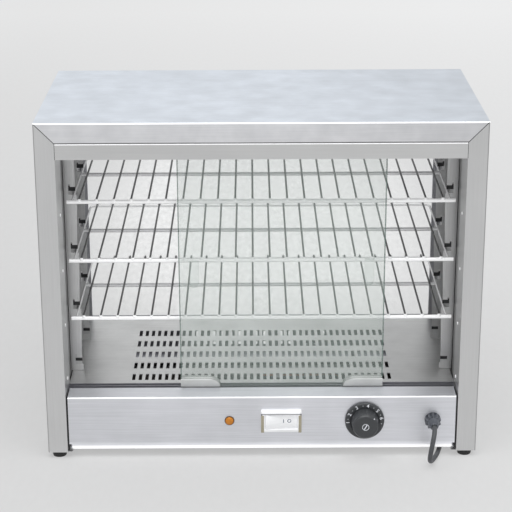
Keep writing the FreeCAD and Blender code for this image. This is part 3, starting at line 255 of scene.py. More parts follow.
# Painted light: a pale speckled pool of light behind the case, and the paper painted paler far
# away and a little paler towards the right.
pool_shift = raised(paper, "VectorMath", "SUBTRACT", i1=(0.0, 1.05, 0.0))
pool_shape = raised(paper, "VectorMath", "MULTIPLY", i1=(2.2, 0.85, 0.0))
pool_far = raised(paper, "VectorMath", "LENGTH")
pool = raised(paper, "MapRange", interpolation_type="SMOOTHSTEP", From_Min=0.4, From_Max=1.0,
              To_Min=0.19, To_Max=0.0)
floor_apart = raised(paper, "SeparateXYZ")
painted_far_light = raised(paper, "MapRange", From_Min=0.5, From_Max=3.4, To_Min=0.665, To_Max=0.865)
painted_side_light = raised(paper, "MapRange", From_Min=-0.7, From_Max=0.7, To_Min=-0.02, To_Max=0.04)
speck_long = raised(paper, "VectorMath", "MULTIPLY", i1=(1.0, 0.35, 1.0))
paper_speck = raised(paper, "TexNoise", Scale=110.0, Detail=3.0)
speck_zero = raised(paper, "Math", "SUBTRACT", i1=0.5)
speck_depth = raised(paper, "Math", "MULTIPLY_ADD", i1=1.8, i2=0.03)
speck_part = raised(paper, "Math", "MULTIPLY")
speck_tone = raised(paper, "Math", "ADD")
paper_lean = raised(paper, "Math", "ADD")
paper_tone = raised(paper, "Math", "ADD")
paper_colour = raised(paper, "CombineColor")
paper_glow = raised(paper, "Emission")
paper_ray = raised(paper, "LightPath")
ray_any = raised(paper, "Math", "MAXIMUM")
ray_all = raised(paper, "Math", "MAXIMUM")
glow_share = raised(paper, "Math", "MULTIPLY", i1=0.62)
paper_mix = raised(paper, "MixShader")
wired(paper,
      (floor_place, "Object", pool_shift, 0), (pool_shift, "Vector", pool_shape, 0),
      (pool_shape, "Vector", pool_far, 0), (pool_far, "Value", pool, "Value"),
      (floor_place, "Object", floor_apart, 0), (floor_apart, "Y", painted_far_light, "Value"),
      (floor_apart, "X", painted_side_light, "Value"), (painted_side_light, "Result", paper_lean, 1),
      (floor_place, "Object", speck_long, 0), (speck_long, "Vector", paper_speck, "Vector"),
      (paper_speck, "Fac", speck_zero, 0), (pool, "Result", speck_depth, 0),
      (speck_zero, 0, speck_part, 0), (speck_depth, 0, speck_part, 1),
      (speck_part, 0, speck_tone, 0), (paper_tone, 0, speck_tone, 1),
      (pool, "Result", paper_lean, 0), (paper_lean, 0, paper_tone, 0),
      (painted_far_light, "Result", paper_tone, 1))
wired(paper, *((speck_tone, 0, paper_colour, channel) for channel in ("Red", "Green", "Blue")),
      (paper_colour, "Color", floor_shader, "Base Color"),
      (paper_colour, "Color", paper_glow, "Color"), (paper_ray, "Is Camera Ray", ray_any, 0),
      (paper_ray, "Is Glossy Ray", ray_any, 1), (ray_any, 0, ray_all, 0),
      (paper_ray, "Is Transmission Ray", ray_all, 1), (ray_all, 0, glow_share, 0),
      (glow_share, 0, paper_mix, 0), (floor_shader, 0, paper_mix, 1),
      (paper_glow, 0, paper_mix, 2), (paper_mix, 0, paper_end, "Surface"))
floor_mesh.materials.append(floor_paint)
floor = shown("floor", floor_mesh)

world = bpy.data.worlds.new("sky")
bpy.context.scene.world = world
world.use_nodes = True
sky = world.node_tree.nodes["Background"]
sky.inputs["Color"].default_value = (0.98, 0.99, 1.0, 1)
sky.inputs["Strength"].default_value = 0.78

lamp_data = bpy.data.lights.new("overhead", "AREA")
lamp_data.shape = "RECTANGLE"
lamp_data.size, lamp_data.size_y = 2.6, 1.4
lamp_data.energy = 34
lamp = shown("overhead", lamp_data)
LAMP_PLACE, LAMP_AIM = Vector((0.0, -0.7, 2.4)), Vector((0, 0, 0.3))
lamp.location = LAMP_PLACE
lamp.rotation_euler = (LAMP_AIM - LAMP_PLACE).to_track_quat("-Z", "Y").to_euler()

CAMERA_PLACE = (-0.0151, -2.3255, 1.0705)
CAMERA_PAN, CAMERA_DIP, CAMERA_ROLL = -0.00328, -0.33427, 0.00356
camera_data = bpy.data.cameras.new("camera")
camera_data.lens = 113.41
camera_data.sensor_width = 36
camera = shown("camera", camera_data)
camera.matrix_world = (
    Matrix.Translation(CAMERA_PLACE) @ Matrix.Rotation(CAMERA_PAN, 4, "Z")
    @ Matrix.Rotation(CAMERA_DIP, 4, "X") @ Matrix.Rotation(CAMERA_ROLL, 4, "Y")
    @ Matrix.Rotation(math.pi / 2, 4, "X"))
bpy.context.scene.camera = camera
bpy.context.scene.view_settings.view_transform = "Standard"

# ---------------------------------------------------------------- casing
# Cover, side skins and header strips, folded from 1 mm stainless sheet with a fine
# brushed grain. Their folds get a painted highlight, brighter than the flats.

# Brushed grain: streaks stretched by a scale in each axis, slow clouds of polish, and a
# painted highlight on folds where a face leans between the front and the top.
brushed, brushed_in, brushed_out = effect(
    "brushed_sheet",
    {"Stretch": "Vector", "Dark": "Color", "Light": "Color", "Streak": "Float",
     "Cloud": "Float", "Cloud Size": "Float", "Fold": "Float"},
    {"Colour": "Color", "Height": "Float", "Roughness": "Float", "Upward": "Float",
     "Fold": "Float"})
place_of = raised(brushed, "TexCoord")
stretched = raised(brushed, "VectorMath", "MULTIPLY")
streaks = raised(brushed, "TexNoise", Scale=1.0, Detail=4.0, Roughness=0.65)
clouds = raised(brushed, "TexNoise", Detail=3.0, Roughness=0.55)
streak_part = raised(brushed, "Math", "MULTIPLY")
cloud_part = raised(brushed, "Math", "MULTIPLY")
streak_zero = raised(brushed, "Math", "SUBTRACT", i1=0.5)
cloud_zero = raised(brushed, "Math", "SUBTRACT", i1=0.5)
both = raised(brushed, "Math", "ADD")
centred = raised(brushed, "Math", "ADD", i1=0.5, use_clamp=True)
tone = raised(brushed, "Mix", data_type="RGBA")
wired(brushed,
      (place_of, "Object", stretched, 0), (brushed_in, "Stretch", stretched, 1),
      (stretched, "Vector", streaks, "Vector"), (place_of, "Object", clouds, "Vector"),
      (brushed_in, "Cloud Size", clouds, "Scale"), (streaks, "Fac", streak_zero, 0),
      (clouds, "Fac", cloud_zero, 0), (streak_zero, 0, streak_part, 0),
      (brushed_in, "Streak", streak_part, 1), (cloud_zero, 0, cloud_part, 0),
      (brushed_in, "Cloud", cloud_part, 1), (streak_part, 0, both, 0), (cloud_part, 0, both, 1),
      (both, 0, centred, 0), (centred, 0, tone, "Factor"), (brushed_in, "Dark", tone, "A"),
      (brushed_in, "Light", tone, "B"))
lean = raised(brushed, "SeparateXYZ")
lean_yz = raised(brushed, "Math", "MULTIPLY")
lean_size = raised(brushed, "Math", "ABSOLUTE")
fold_highlight_mask = raised(brushed, "MapRange", interpolation_type="SMOOTHSTEP", From_Min=0.06,
                   From_Max=0.32)
fold_highlight_part = raised(brushed, "Math", "MULTIPLY")
painted_fold_shine = raised(brushed, "Mix", data_type="RGBA", B=(1, 1, 1, 1))
wired(brushed,
      (place_of, "Normal", lean, 0), (lean, "Y", lean_yz, 0), (lean, "Z", lean_yz, 1),
      (lean_yz, 0, lean_size, 0), (lean_size, 0, fold_highlight_mask, "Value"),
      (fold_highlight_mask, "Result", fold_highlight_part, 0), (brushed_in, "Fold", fold_highlight_part, 1),
      (fold_highlight_part, 0, painted_fold_shine, "Factor"), (tone, "Result", painted_fold_shine, "A"),
      (painted_fold_shine, "Result", brushed_out, "Colour"), (streaks, "Fac", brushed_out, "Height"),
      (fold_highlight_part, 0, brushed_out, "Fold"))
upward = raised(brushed, "MapRange", From_Min=0.80, From_Max=0.98)
wired(brushed, (lean, "Z", upward, "Value"), (upward, "Result", brushed_out, "Upward"))
sheen = raised(brushed, "MapRange", To_Min=0.30, To_Max=0.46)
wired(brushed, (centred, 0, sheen, "Value"), (sheen, "Result", brushed_out, "Roughness"))

ALONG, ACROSS = 9, 620
GRAIN = {"x": (ALONG, ACROSS, ACROSS), "y": (ACROSS, ALONG, ACROSS),
         "z": (ACROSS, ACROSS, ALONG)}


def steel(name, dark, light, along, streak=0.9, cloud=0.8, cloud_size=9.0, fold_highlight=0.0,
          metallic=0.85, top=None, shades=(), painted_glow=None):
    """Brushed sheet between two tones, its grain along one axis; top paints a tint of light on
    its top face.

    Shades paint light and shade along an axis; the glow setting paints a glowing highlight
    along an axis of folded sheet.
    """
    material, shader = finish_of(name, metallic=metallic)
    node = placed(material, brushed, Stretch=GRAIN[along], Dark=(*dark, 1),
                  Light=(*light, 1), Streak=streak, Cloud=cloud, Cloud_Size=cloud_size,
                  Fold=fold_highlight)
    tree = material.node_tree
    colour = node.outputs["Colour"]
    # Painted light: the top face gets a tint of the light from above.
    if top:
        painted_top_tint = raised(tree, "Mix", data_type="RGBA", blend_type="MULTIPLY", B=(*top, 1))
        wired(tree, (node, "Upward", painted_top_tint, "Factor"), (node, "Colour", painted_top_tint, "A"))
        colour = painted_top_tint.outputs["Result"]
    for shade in shades:
        colour = shaded(tree, colour, *shade)
    tree.links.new(colour, shader.inputs["Base Color"])
    wired(tree, (node, "Roughness", shader, "Roughness"))
    # Folds get a painted highlight: less metal, and a painted glow from emission.
    if fold_highlight:
        fold_highlight_metal = raised(tree, "MapRange", To_Min=metallic, To_Max=0.25)
        painted_fold_glow = raised(tree, "VectorMath", "SCALE", i0=(0.16, 0.16, 0.165))
        wired(tree, (node, "Fold", fold_highlight_metal, "Value"), (fold_highlight_metal, "Result", shader, "Metallic"),
              (node, "Fold", painted_fold_glow, "Scale"), (painted_fold_glow, "Vector", shader, "Emission Color"))
        shader.inputs["Emission Strength"].default_value = 1.0
    # A painted glow along an axis, added to the painted glow of the folds.
    if painted_glow:
        painted_gleam = raised(tree, "VectorMath", "ADD")
        tree.links.new(shaded(tree, colour, *painted_glow), painted_gleam.inputs[1])
        wired(tree, (painted_fold_glow, "Vector", painted_gleam, 0), (painted_gleam, "Vector", shader, "Emission Color"))
    bumped(material, node, shader, 0.00002)
    return material


# The cover gets a painted tint of light on its top face, painted shade towards its right end,
# and a painted highlight on its folds.
wear(steel("cover_steel", (0.72, 0.725, 0.745), (0.92, 0.92, 0.94), "x", fold_highlight=1.0,
           cloud=1.4, cloud_size=26.0, top=(0.91, 0.96, 1.01),
           shades=[("x", (0.02, 0.31), (1.0, 0.88))]), "top_panel")
# Painted shade darkens the inner faces of the side skins, which lie in the dark behind the
# liner walls; side faces inboard of 300 mm, the lips, get most of their tone back.
wear(steel("left_side_steel", (0.64, 0.64, 0.64), (0.76, 0.76, 0.76), "z",
           shades=[("x", (-0.3173, -0.3168), (1.0, 0.12), "x"),
                   ("x", (-0.3050, -0.3000), (1.0, 6.6), "x")]), "left_side_panel")
wear(steel("right_side_steel", (0.60, 0.60, 0.60), (0.72, 0.72, 0.72), "z",
           shades=[("x", (0.3168, 0.3173), (0.12, 1.0), "x"),
                   ("x", (0.3000, 0.3050), (5.8, 1.0), "x")]), "right_side_panel")
# The headers' folds get a painted highlight with a glow.
wear(steel("header_steel", (0.63, 0.63, 0.63), (0.74, 0.74, 0.735), "x", fold_highlight=1.0),
     "front_header", "rear_header")
# The control and rear base panels: faces that look up or down, the deck among them, get painted
# light; the folds a painted highlight, and a band low on the front over the hem a painted glow.
wear(steel("panel_steel", (0.67, 0.68, 0.71), (0.88, 0.885, 0.93), "x", streak=1.2, cloud=1.5,
           fold_highlight=1.0, shades=[("x", (-0.3, 0.3), (1.16, 1.12), "z")],
           painted_glow=("z", (0.0195, 0.0275), (0.22, 0.0))), "control_panel", "rear_base_panel")


def surface(name, grids, material, body, sharp=35):
    """One mesh of several point grids; each is (points, closed along u, closed along v).

    Each grid point is joined to the next ones along u and v by a four-sided face.
    """
    corners, squares, first = [], [], 0
    for points, wrap_u, wrap_v in grids:
        count_u, count_v = points.shape[:2]
        number = first + np.arange(count_u * count_v).reshape(count_u, count_v)
        after_u = np.roll(number, -1, axis=0)
        after_v = np.roll(number, -1, axis=1)
        after_both = np.roll(after_u, -1, axis=1)
        faces = np.stack([number, after_u, after_both, after_v], axis=-1)
        faces = faces[:None if wrap_u else -1, :None if wrap_v else -1].reshape(-1, 4)
        corners.append(points.reshape(-1, 3))
        squares.append(faces)
        first += count_u * count_v
    mesh = bpy.data.meshes.new(name)
    mesh.from_pydata(np.concatenate(corners).tolist(), [], np.concatenate(squares).tolist())
    shape = bmesh.new()
    shape.from_mesh(mesh)
    bmesh.ops.remove_doubles(shape, verts=shape.verts, dist=1e-6)
    bmesh.ops.dissolve_degenerate(shape, edges=shape.edges, dist=1e-7)
    bmesh.ops.recalc_face_normals(shape, faces=shape.faces)
    shape.to_mesh(mesh)
    shape.free()
    mesh.shade_smooth()
    mesh.set_sharp_from_angle(angle=math.radians(sharp))
    mesh.materials.append(material)
    piece = shown(name, mesh)
    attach(piece, body)
    return piece


def slab(corners, depth):
    """Flat plate: four front corners, the same moved back by its depth, and both middles."""
    face = np.asarray(corners, float)
    back = face + (0, depth, 0)
    ends = [np.tile(part.mean(axis=0), (4, 1)) for part in (face, back)]
    return np.array([ends[0], face, back, ends[1]]), False, True


def upright(x0, x1, z0, z1, y):
    """Corners of an upright rectangle that faces the front."""
    return [(x0, y, z0), (x1, y, z0), (x1, y, z1), (x0, y, z1)]


# Joints between the folded sheets show as fine dark lines at the front.
joint_and_shade_dark = moulded("joint_and_shade_dark", (0.035, 0.035, 0.037), roughness=0.9)
cover_low, cover_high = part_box("top_panel")
header_low, header_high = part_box("front_header")
joint_y = cover_low.y - 0.00004
joint_z = header_high.z + 0.0004
LINE_DEEP = 0.0003
SKIN_EDGE = 0.2885
PANEL_FRONT = -0.1505
PANEL_FOOT, PANEL_HEAD = 0.0115, 0.0966
lines = [slab(upright(-SKIN_EDGE, SKIN_EDGE, joint_z, joint_z + 0.0009, joint_y), LINE_DEEP)]
for way in (-1, 1):
    mitre = [(0.3168, cover_high.z - 0.0012), (0.3160, cover_high.z - 0.0006),
             (SKIN_EDGE - 0.0005, joint_z), (SKIN_EDGE + 0.0003, joint_z - 0.0006)]
    lines.append(slab([(way * x, joint_y, z) for x, z in mitre], LINE_DEEP))
    lines.append(slab(upright(way * (SKIN_EDGE - 0.00035), way * (SKIN_EDGE + 0.00035),
                              header_low.z, joint_z, joint_y), LINE_DEEP))
    gap = sorted((way * 0.28595, way * 0.2883))
    lines.append(slab(upright(*gap, PANEL_FOOT, PANEL_HEAD, PANEL_FRONT), 0.0005))
surface("joint_lines", lines, joint_and_shade_dark, "case")

# ---------------------------------------------------------------- inside of the case
# Liner walls with lanced rails, ceiling and slotted floor in the same sheet, the walls darker
# with painted shade, and the door tracks extruded in aluminium.

# Painted shade and light: the walls' side faces darken from just in front of the front rails
# and lighten again towards the back; the rails' front faces get painted light, more on the
# left.
wear(steel("liner_steel_wall", (0.42, 0.42, 0.42), (0.58, 0.58, 0.58), "z", cloud=1.2,
           shades=[("y", (-0.095, -0.080), (1.0, 0.38), "x"),
                   ("y", (-0.052, 0.15), (1.0, 1.5), "x"),
                   ("x", (-0.3, 0.3), (1.60, 1.42), "y")]),
     "left_inner_wall", "right_inner_wall")
# Painted light: the floor plate, ceiling and base pan are lighter on the left, darker on the
# right.
wear(steel("floor_steel", (0.56, 0.56, 0.555), (0.78, 0.78, 0.775), "x", streak=1.2, cloud=2.2,
           cloud_size=14.0, shades=[("x", (-0.25, 0.26), (1.14, 0.94))]),
     "floor_plate", "ceiling_liner", "base_pan")
wear(steel("track_aluminium", (0.44, 0.44, 0.47), (0.60, 0.60, 0.64), "x", metallic=0.9),
     "lower_door_track", "upper_door_track", "rear_pane_sill", "rear_pane_head",
     "rear_pane_post_left", "rear_pane_post_right")
wear(steel("shield_steel", (0.16, 0.16, 0.16), (0.24, 0.24, 0.24), "x"),
     "heat_shield", "element_brackets")
wear(steel("fixing_steel", (0.60, 0.60, 0.61), (0.80, 0.80, 0.81), "z", metallic=1.0),
     "foot_screws", "bulb_clips", "earth_stud", "thermostat_shaft")

# Behind each notch in the rails a dark plate paints the shade in the return of the rail. The
# lowest notches, which hold no shelf, are closed below and above that painted shade.
RAIL_FRONTS = (-0.0514, 0.0710)
RAIL_TIP = 0.2735
NOTCH_END = 0.2845
SEAT_PITCH = 0.090
seat_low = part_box("lower_shelf")[0].z - SEAT_PITCH
shadows, blanks = [], []
for rail_y in RAIL_FRONTS:
    for way in (-1, 1):
        near, far = sorted((way * (RAIL_TIP - 0.0003), way * NOTCH_END))
        for number in range(4):
            seat = seat_low + SEAT_PITCH * number
            foot, tip = (0.0050, 0.0102) if number == 0 else (0.0056, 0.0135)
            shadows.append(slab(upright(near, far, seat + foot, seat + tip, rail_y + 0.0013),
                                0.0004))
            if number == 0:
                for low, high in ((-0.0004, foot), (tip, 0.0168)):
                    blanks.append(slab(upright(near, far, seat + low, seat + high,
                                               rail_y + 0.0001), 0.0006))
surface("rail_return_shadows", shadows, joint_and_shade_dark, "case")
surface("notch_blanks", blanks,
        steel("rail_steel", (0.60, 0.60, 0.60), (0.80, 0.80, 0.80), "z"), "case")

# ---------------------------------------------------------------- wall rivets
# Eight domed rivets in bright metal, four in a column near the front of each liner wall,
# that hold it to the lip of its side skin.


def bead(centre, half_size, rows=5, columns=8):
    """Ellipsoid: a unit ball in rows and columns, each axis times its half size."""
    turn = np.linspace(0, 2 * math.pi, columns, endpoint=False)[None]
    rise = np.linspace(-math.pi / 2, math.pi / 2, rows)[:, None]
    unit = np.stack([np.cos(rise) * np.cos(turn), np.cos(rise) * np.sin(turn),
                     np.sin(rise) * np.ones_like(turn)], axis=-1)
    return np.asarray(centre) + unit * np.asarray(half_size), False, True


def plated(name, core, rim, metallic, span, along, painted_glow=0.0):
    """Polished round stock with painted light: core tone where it faces the eye, painted shade
    in the rim tone at its edges, and a painted glow.
    """
    material, shader = finish_of(name, metallic=metallic, Emission_Strength=painted_glow)
    node = placed(material, brushed, Stretch=GRAIN[along], Light=(*core, 1),
                  Dark=(*(0.88 * part for part in core), 1), Streak=0.8, Cloud=0.6,
                  Cloud_Size=30.0)
    tree = material.node_tree
    facing = raised(tree, "LayerWeight", Blend=0.5)
    edge = raised(tree, "MapRange", From_Min=span[0], From_Max=span[1])
    mix = raised(tree, "Mix", data_type="RGBA", B=(*rim, 1))
    wired(tree,
          (facing, "Facing", edge, "Value"), (edge, "Result", mix, "Factor"),
          (node, "Colour", mix, "A"), (mix, "Result", shader, "Base Color"),
          (mix, "Result", shader, "Emission Color"), (node, "Roughness", shader, "Roughness"))
    bumped(material, node, shader, 0.00001)
    return material


# The bright bar of the rivets, shelf frames and welds: a painted highlight where it faces the
# eye, painted shade at its edges, and a painted glow.
bright_bar = plated("bright_bar", (0.98, 0.98, 0.98), (0.24, 0.24, 0.25), 0.3, (0.50, 0.88),
                    "x", painted_glow=0.24)
RIVET_X, RIVET_Y = 0.2882, -0.120
RIVET_LOW, RIVET_PITCH = 0.114, 0.0847
rivets = [bead((way * RIVET_X, RIVET_Y, RIVET_LOW + RIVET_PITCH * number),
               (0.0014, 0.0026, 0.0026)) for way in (-1, 1) for number in range(4)]
rivet_heads = surface("rivet_heads", rivets, bright_bar, "case")
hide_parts("wall_rivets")

# ---------------------------------------------------------------- shelves
# Round wire shelves, bright plated: a thick front bar, a thinner loop round the sides and
# the back, one crossbar, and a row of thin wires laid on top. Each thin wire is spot welded
# to the front and the back, with a bead of metal left there.


def tube(path, thick, sides=12):
    """Circle carried along a path, square to it.

    Each point is the sideways direction times the cosine of an angle plus the upward one
    times its sine, times the radius, added to the path.
    """
    path = np.asarray(path, float)
    ahead = np.roll(path, -1, axis=0) - np.roll(path, 1, axis=0)
    ahead[0], ahead[-1] = path[1] - path[0], path[-1] - path[-2]
    ahead /= np.linalg.norm(ahead, axis=1)[:, None]
    side = np.cross(ahead, (0.0, 0.0, 1.0))
    side /= np.linalg.norm(side, axis=1)[:, None]
    up = np.cross(side, ahead)
    turn = np.linspace(0, 2 * math.pi, sides, endpoint=False)
    thick = np.broadcast_to(thick, len(path))[:, None, None]
    ring = (side[:, None] * np.cos(turn)[None, :, None]
            + up[:, None] * np.sin(turn)[None, :, None])
    return path[:, None] + ring * thick, False, True


def rod_with_ends(start, end, thick, sides=10):
    """Straight round wire; each end is dished by half a sphere of the wire's own radius."""
    start, end = np.asarray(start, float), np.asarray(end, float)
    way = (end - start) / np.linalg.norm(end - start)
    bend = np.array([0, 0.25, 0.6, 1]) * math.pi / 2
    inward = thick * (1 - np.sin(bend))
    radii = thick * np.sqrt(np.maximum(1 - (1 - np.sin(bend)) ** 2, 0))
    return tube(np.concatenate([start + way * inward[:, None], end - way * inward[::-1, None]]),
                np.concatenate([radii, radii[::-1]]), sides)


# The crossbar and thin wires: painted light where they face the eye, painted shade at their
# edges, and a faint painted glow.
cross_plate = plated("cross_plate", (0.95, 0.95, 0.96), (0.07, 0.07, 0.075), 0.6, (0.42, 0.74),
                     "x", painted_glow=0.08)
drawn_wire = plated("drawn_wire", (0.86, 0.86, 0.87), (0.06, 0.06, 0.062), 0.7, (0.25, 0.62),
                    "y", painted_glow=0.06)
FRAME_WIRE = 0.003
LOOP_WIRE = 0.0016
LOOP_INSET = 0.0055
GRID_WIRE = 0.0015
CROSS_WIRE = 0.0028
CROSS_SETBACK = 0.008
FRAME_BEND = 0.008
GRID_COUNT = 22
GRID_MARGIN = 0.0165
for shelf_name in ("lower_shelf", "middle_shelf", "upper_shelf"):
    low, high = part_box(shelf_name)
    level = low.z + FRAME_WIRE
    side_x = high.x - FRAME_WIRE
    front_y, rear_y = low.y + FRAME_WIRE, high.y - FRAME_WIRE
    quarter = np.linspace(0, math.pi / 2, 7)
    loop_x = side_x - LOOP_INSET
    loop = [np.array([[loop_x, front_y, level]])]
    for number, turn_x in enumerate((loop_x - FRAME_BEND, FRAME_BEND - loop_x)):
        bend = quarter + number * math.pi / 2
        loop.append(np.stack([turn_x + FRAME_BEND * np.cos(bend),
                              rear_y - FRAME_BEND + FRAME_BEND * np.sin(bend),
                              np.full(7, level)], axis=1))
    loop.append(np.array([[-loop_x, front_y, level]]))
    frame_loop = tube(np.concatenate(loop), LOOP_WIRE, 12)
    front_bar = rod_with_ends((-side_x - 0.0015, front_y, level),
                              (side_x + 0.0015, front_y, level), FRAME_WIRE, 16)
    wire_xs = np.linspace(GRID_MARGIN - side_x, side_x - GRID_MARGIN, GRID_COUNT)
    wire_z = high.z - GRID_WIRE
    wires = [rod_with_ends((x, front_y - 0.0016, wire_z), (x, rear_y + 0.0016, wire_z),
                           GRID_WIRE) for x in wire_xs]
    cross_y = (front_y + rear_y) / 2 + CROSS_SETBACK
    cross_rod = rod_with_ends((-loop_x, cross_y, level), (loop_x, cross_y, level),
                              CROSS_WIRE, 12)
    welds = [bead((x + 0.0002 * math.sin(37 * x + 5 * level * 100), y, level + 0.0028),
                  (0.0031, 0.0030, 0.0024))
             for x in wire_xs for y in (front_y - 0.0009, rear_y + 0.0004)]
    frame_piece = surface(shelf_name + "_frame", [front_bar, frame_loop] + welds,
                          bright_bar, "case")
    cross_piece = surface(shelf_name + "_cross", [cross_rod], cross_plate, "case")
    wire_piece = surface(shelf_name + "_wires", wires, drawn_wire, "case")
    for piece in (frame_piece, cross_piece, wire_piece):
        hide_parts(shelf_name)

# ---------------------------------------------------------------- glass
# Two sliding doors and the fixed rear pane in 4 mm float glass with ground edges. The doors
# run in the tracks, and the rear pane stands in its sill between two posts.


def pane_glass(name, reflection_veil, low, high):
    """Clear greenish glass; its veil is a painted reflection, the share of what is behind that
    a pane hides.

    Faces sunk behind the front plane are frosted; edges and upright rims are deep green.
    """
    material, shader = finish_of(name, roughness=0.06, Alpha=reflection_veil)
    tree = material.node_tree
    place = raised(tree, "TexCoord")
    look = raised(tree, "SeparateXYZ")
    spot = raised(tree, "SeparateXYZ")
    faces_front = raised(tree, "Math", "ABSOLUTE")
    past_front = raised(tree, "Math", "COMPARE", i1=low.y + 0.0012, i2=0.0004)
    frosted = raised(tree, "Math", "MULTIPLY")
    from_middle = raised(tree, "Math", "SUBTRACT", i1=(low.x + high.x) / 2)
    aside = raised(tree, "Math", "ABSOLUTE")
    rim = raised(tree, "Math", "GREATER_THAN", i1=(high.x - low.x) / 2 - 0.0011)
    rim_part = raised(tree, "Math", "MULTIPLY_ADD", i1=0.30)
    rim_tint = raised(tree, "Math", "SUBTRACT", use_clamp=True)
    edge = raised(tree, "MapRange", From_Min=0.5, From_Max=0.9, To_Min=0.85, To_Max=reflection_veil)
    hidden = raised(tree, "Math", "MULTIPLY_ADD", i1=0.16)
    tint = raised(tree, "Mix", data_type="RGBA", A=(0.16, 0.24, 0.21, 1),
                  B=(0.62, 0.72, 0.66, 1))
    smear = raised(tree, "TexNoise", Scale=7.0)
    rough = raised(tree, "MapRange", To_Min=0.03, To_Max=0.12)
    rougher = raised(tree, "Math", "MULTIPLY_ADD", i1=0.5)
    wired(tree,
          (place, "Normal", look, 0), (place, "Object", spot, 0), (look, "Y", faces_front, 0),
          (spot, "Y", past_front, 0), (faces_front, 0, edge, "Value"),
          (spot, "X", from_middle, 0), (from_middle, 0, aside, 0), (aside, 0, rim, 0),
          (rim, 0, rim_part, 0), (edge, "Result", rim_part, 2), (faces_front, 0, rim_tint, 0),
          (rim, 0, rim_tint, 1), (rim_tint, 0, tint, "Factor"), (past_front, 0, frosted, 0),
          (faces_front, 0, frosted, 1), (frosted, 0, hidden, 0), (rim_part, 0, hidden, 2),
          (hidden, 0, shader, "Alpha"), (tint, "Result", shader, "Base Color"),
          (place, "Object", smear, "Vector"), (smear, "Fac", rough, "Value"),
          (frosted, 0, rougher, 0), (rough, "Result", rougher, 2),
          (rougher, 0, shader, "Roughness"))
    return material


# Each pane's pale veil is a painted reflection laid over what is behind it.
for side in ("left", "right"):
    wear(pane_glass(side + "_door_glass", 0.08, *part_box(side + "_glass_door")),
         side + "_glass_door")
wear(pane_glass("rear_pane_glass", 0.04, *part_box("rear_glass")), "rear_glass")

# ---------------------------------------------------------------- door shoes
# Clear plastic channels that cap the lower corners of each door: two thin walls on a
# runner, whose tops fall away to the deck in a curve at the inner end.


def bar_ring(low, high, bevel):
    """Eight points around a rectangle with cut corners, from (y, z) to (y, z)."""
    (y0, z0), (y1, z1) = low, high
    return [(y0 + bevel, z0), (y1 - bevel, z0), (y1, z0 + bevel), (y1, z1 - bevel),
            (y1 - bevel, z1), (y0 + bevel, z1), (y0, z1 - bevel), (y0, z0 + bevel)]


def bar_along(stations, rings):
    """Bar through one ring of (y, z) at each X, closed at both ends."""
    points = np.array([[(x, y, z) for y, z in ring] for x, ring in zip(stations, rings)])
    ends = points[[0, -1]].mean(axis=1, keepdims=True).repeat(points.shape[1], axis=1)
    return np.concatenate([ends[:1], points, ends[1:]]), False, True


# The shoes get a painted highlight along their top edge and painted shade in a dark line low
# down.
shoe_plastic = moulded("clear_shoe", (0.58, 0.59, 0.58), roughness=0.3, shades=[
    ("z", (0.1082, 0.1090), (1.0, 1.45)), ("z", (0.0968, 0.0984), (0.25, 1.0))])
SHOE_LENGTH = 0.059
SHOE_FALL = 0.020
SHOE_WALL = 0.0011
SHOE_FOOT = 0.0097
for side in ("left", "right"):
    low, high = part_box(side + "_door_shoes")
    foot_top = low.z + SHOE_FOOT
    bars = []
    for end, way in ((low.x, 1), (high.x, -1)):
        share = np.concatenate([np.linspace(0, 1 - SHOE_FALL / SHOE_LENGTH, 4),
                                1 - SHOE_FALL / SHOE_LENGTH * np.linspace(0.92, 0, 12)])
        stations = end + way * SHOE_LENGTH * share
        fall = np.clip((share - 1) * SHOE_LENGTH / SHOE_FALL + 1, 0, 1)
        tops = foot_top + 0.0004 + (high.z - foot_top - 0.0004) * np.sqrt(1 - fall ** 2)
        along = end + way * SHOE_LENGTH * np.array([0, 0.5, 1.0])
        walls = (low.y, low.y + SHOE_WALL), (high.y - SHOE_WALL, high.y)
        bars += [bar_along(stations, [bar_ring((first, foot_top - 0.001), (last, top), 0.00035)
                                      for top in tops]) for first, last in walls]
        bars.append(bar_along(along, [bar_ring((low.y, low.z), (high.y, low.z + 0.0022),
                                               0.0003)] * 3))
        bars += [bar_along(along, [bar_ring((first, low.z + 0.001), (last, foot_top),
                                            0.0003)] * 3) for first, last in walls]
    shoes = surface(side + "_shoes", bars, shoe_plastic, side + "_door", sharp=50)
    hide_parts(side + "_door_shoes")

# ---------------------------------------------------------------- pilot lamp
# Amber moulded lens in a thin brown ring, pushed into a round hole of the panel from the
# front and held by the lamp's body behind it.


def eased(corners, reach, steps=4):
    """Line whose inner corners are rounded by parabolas.

    A point is (1-t) squared of a start, 2t(1-t) of the corner and t squared of an end, where
    start and end lie at that reach before and after the corner.
    """
    corners = [np.asarray(corner, float) for corner in corners]
    line = [corners[0]]
    for before, corner, after in zip(corners, corners[1:], corners[2:]):
        back, ahead = before - corner, after - corner
        back_long, ahead_long = np.linalg.norm(back), np.linalg.norm(ahead)
        start = corner + back / back_long * min(reach, back_long / 2)
        end = corner + ahead / ahead_long * min(reach, ahead_long / 2)
        for t in np.linspace(0, 1, steps + 1):
            line.append((1 - t) ** 2 * start + 2 * t * (1 - t) * corner + t ** 2 * end)
    return np.array(line + [corners[-1]])


def turned(profile, columns=48, lobes=0, depth=0.0, span=(0, 0)):
    """Profile of (radius, height) turned about Z: radius times cosine and sine of an angle.

    Within a span of heights, a cosine with that many lobes takes up to a depth off it.
    """
    radius, height = np.asarray(profile, float).T
    angle = np.linspace(0, 2 * math.pi, columns, endpoint=False)
    ribbed = ((height > span[0]) & (height < span[1]))[:, None]
    reach = radius[:, None] - ribbed * depth * (0.5 + 0.5 * np.cos(lobes * angle))[None]
    return np.stack([reach * np.cos(angle), reach * np.sin(angle),
                     np.broadcast_to(height[:, None], reach.shape)], axis=-1), False, True


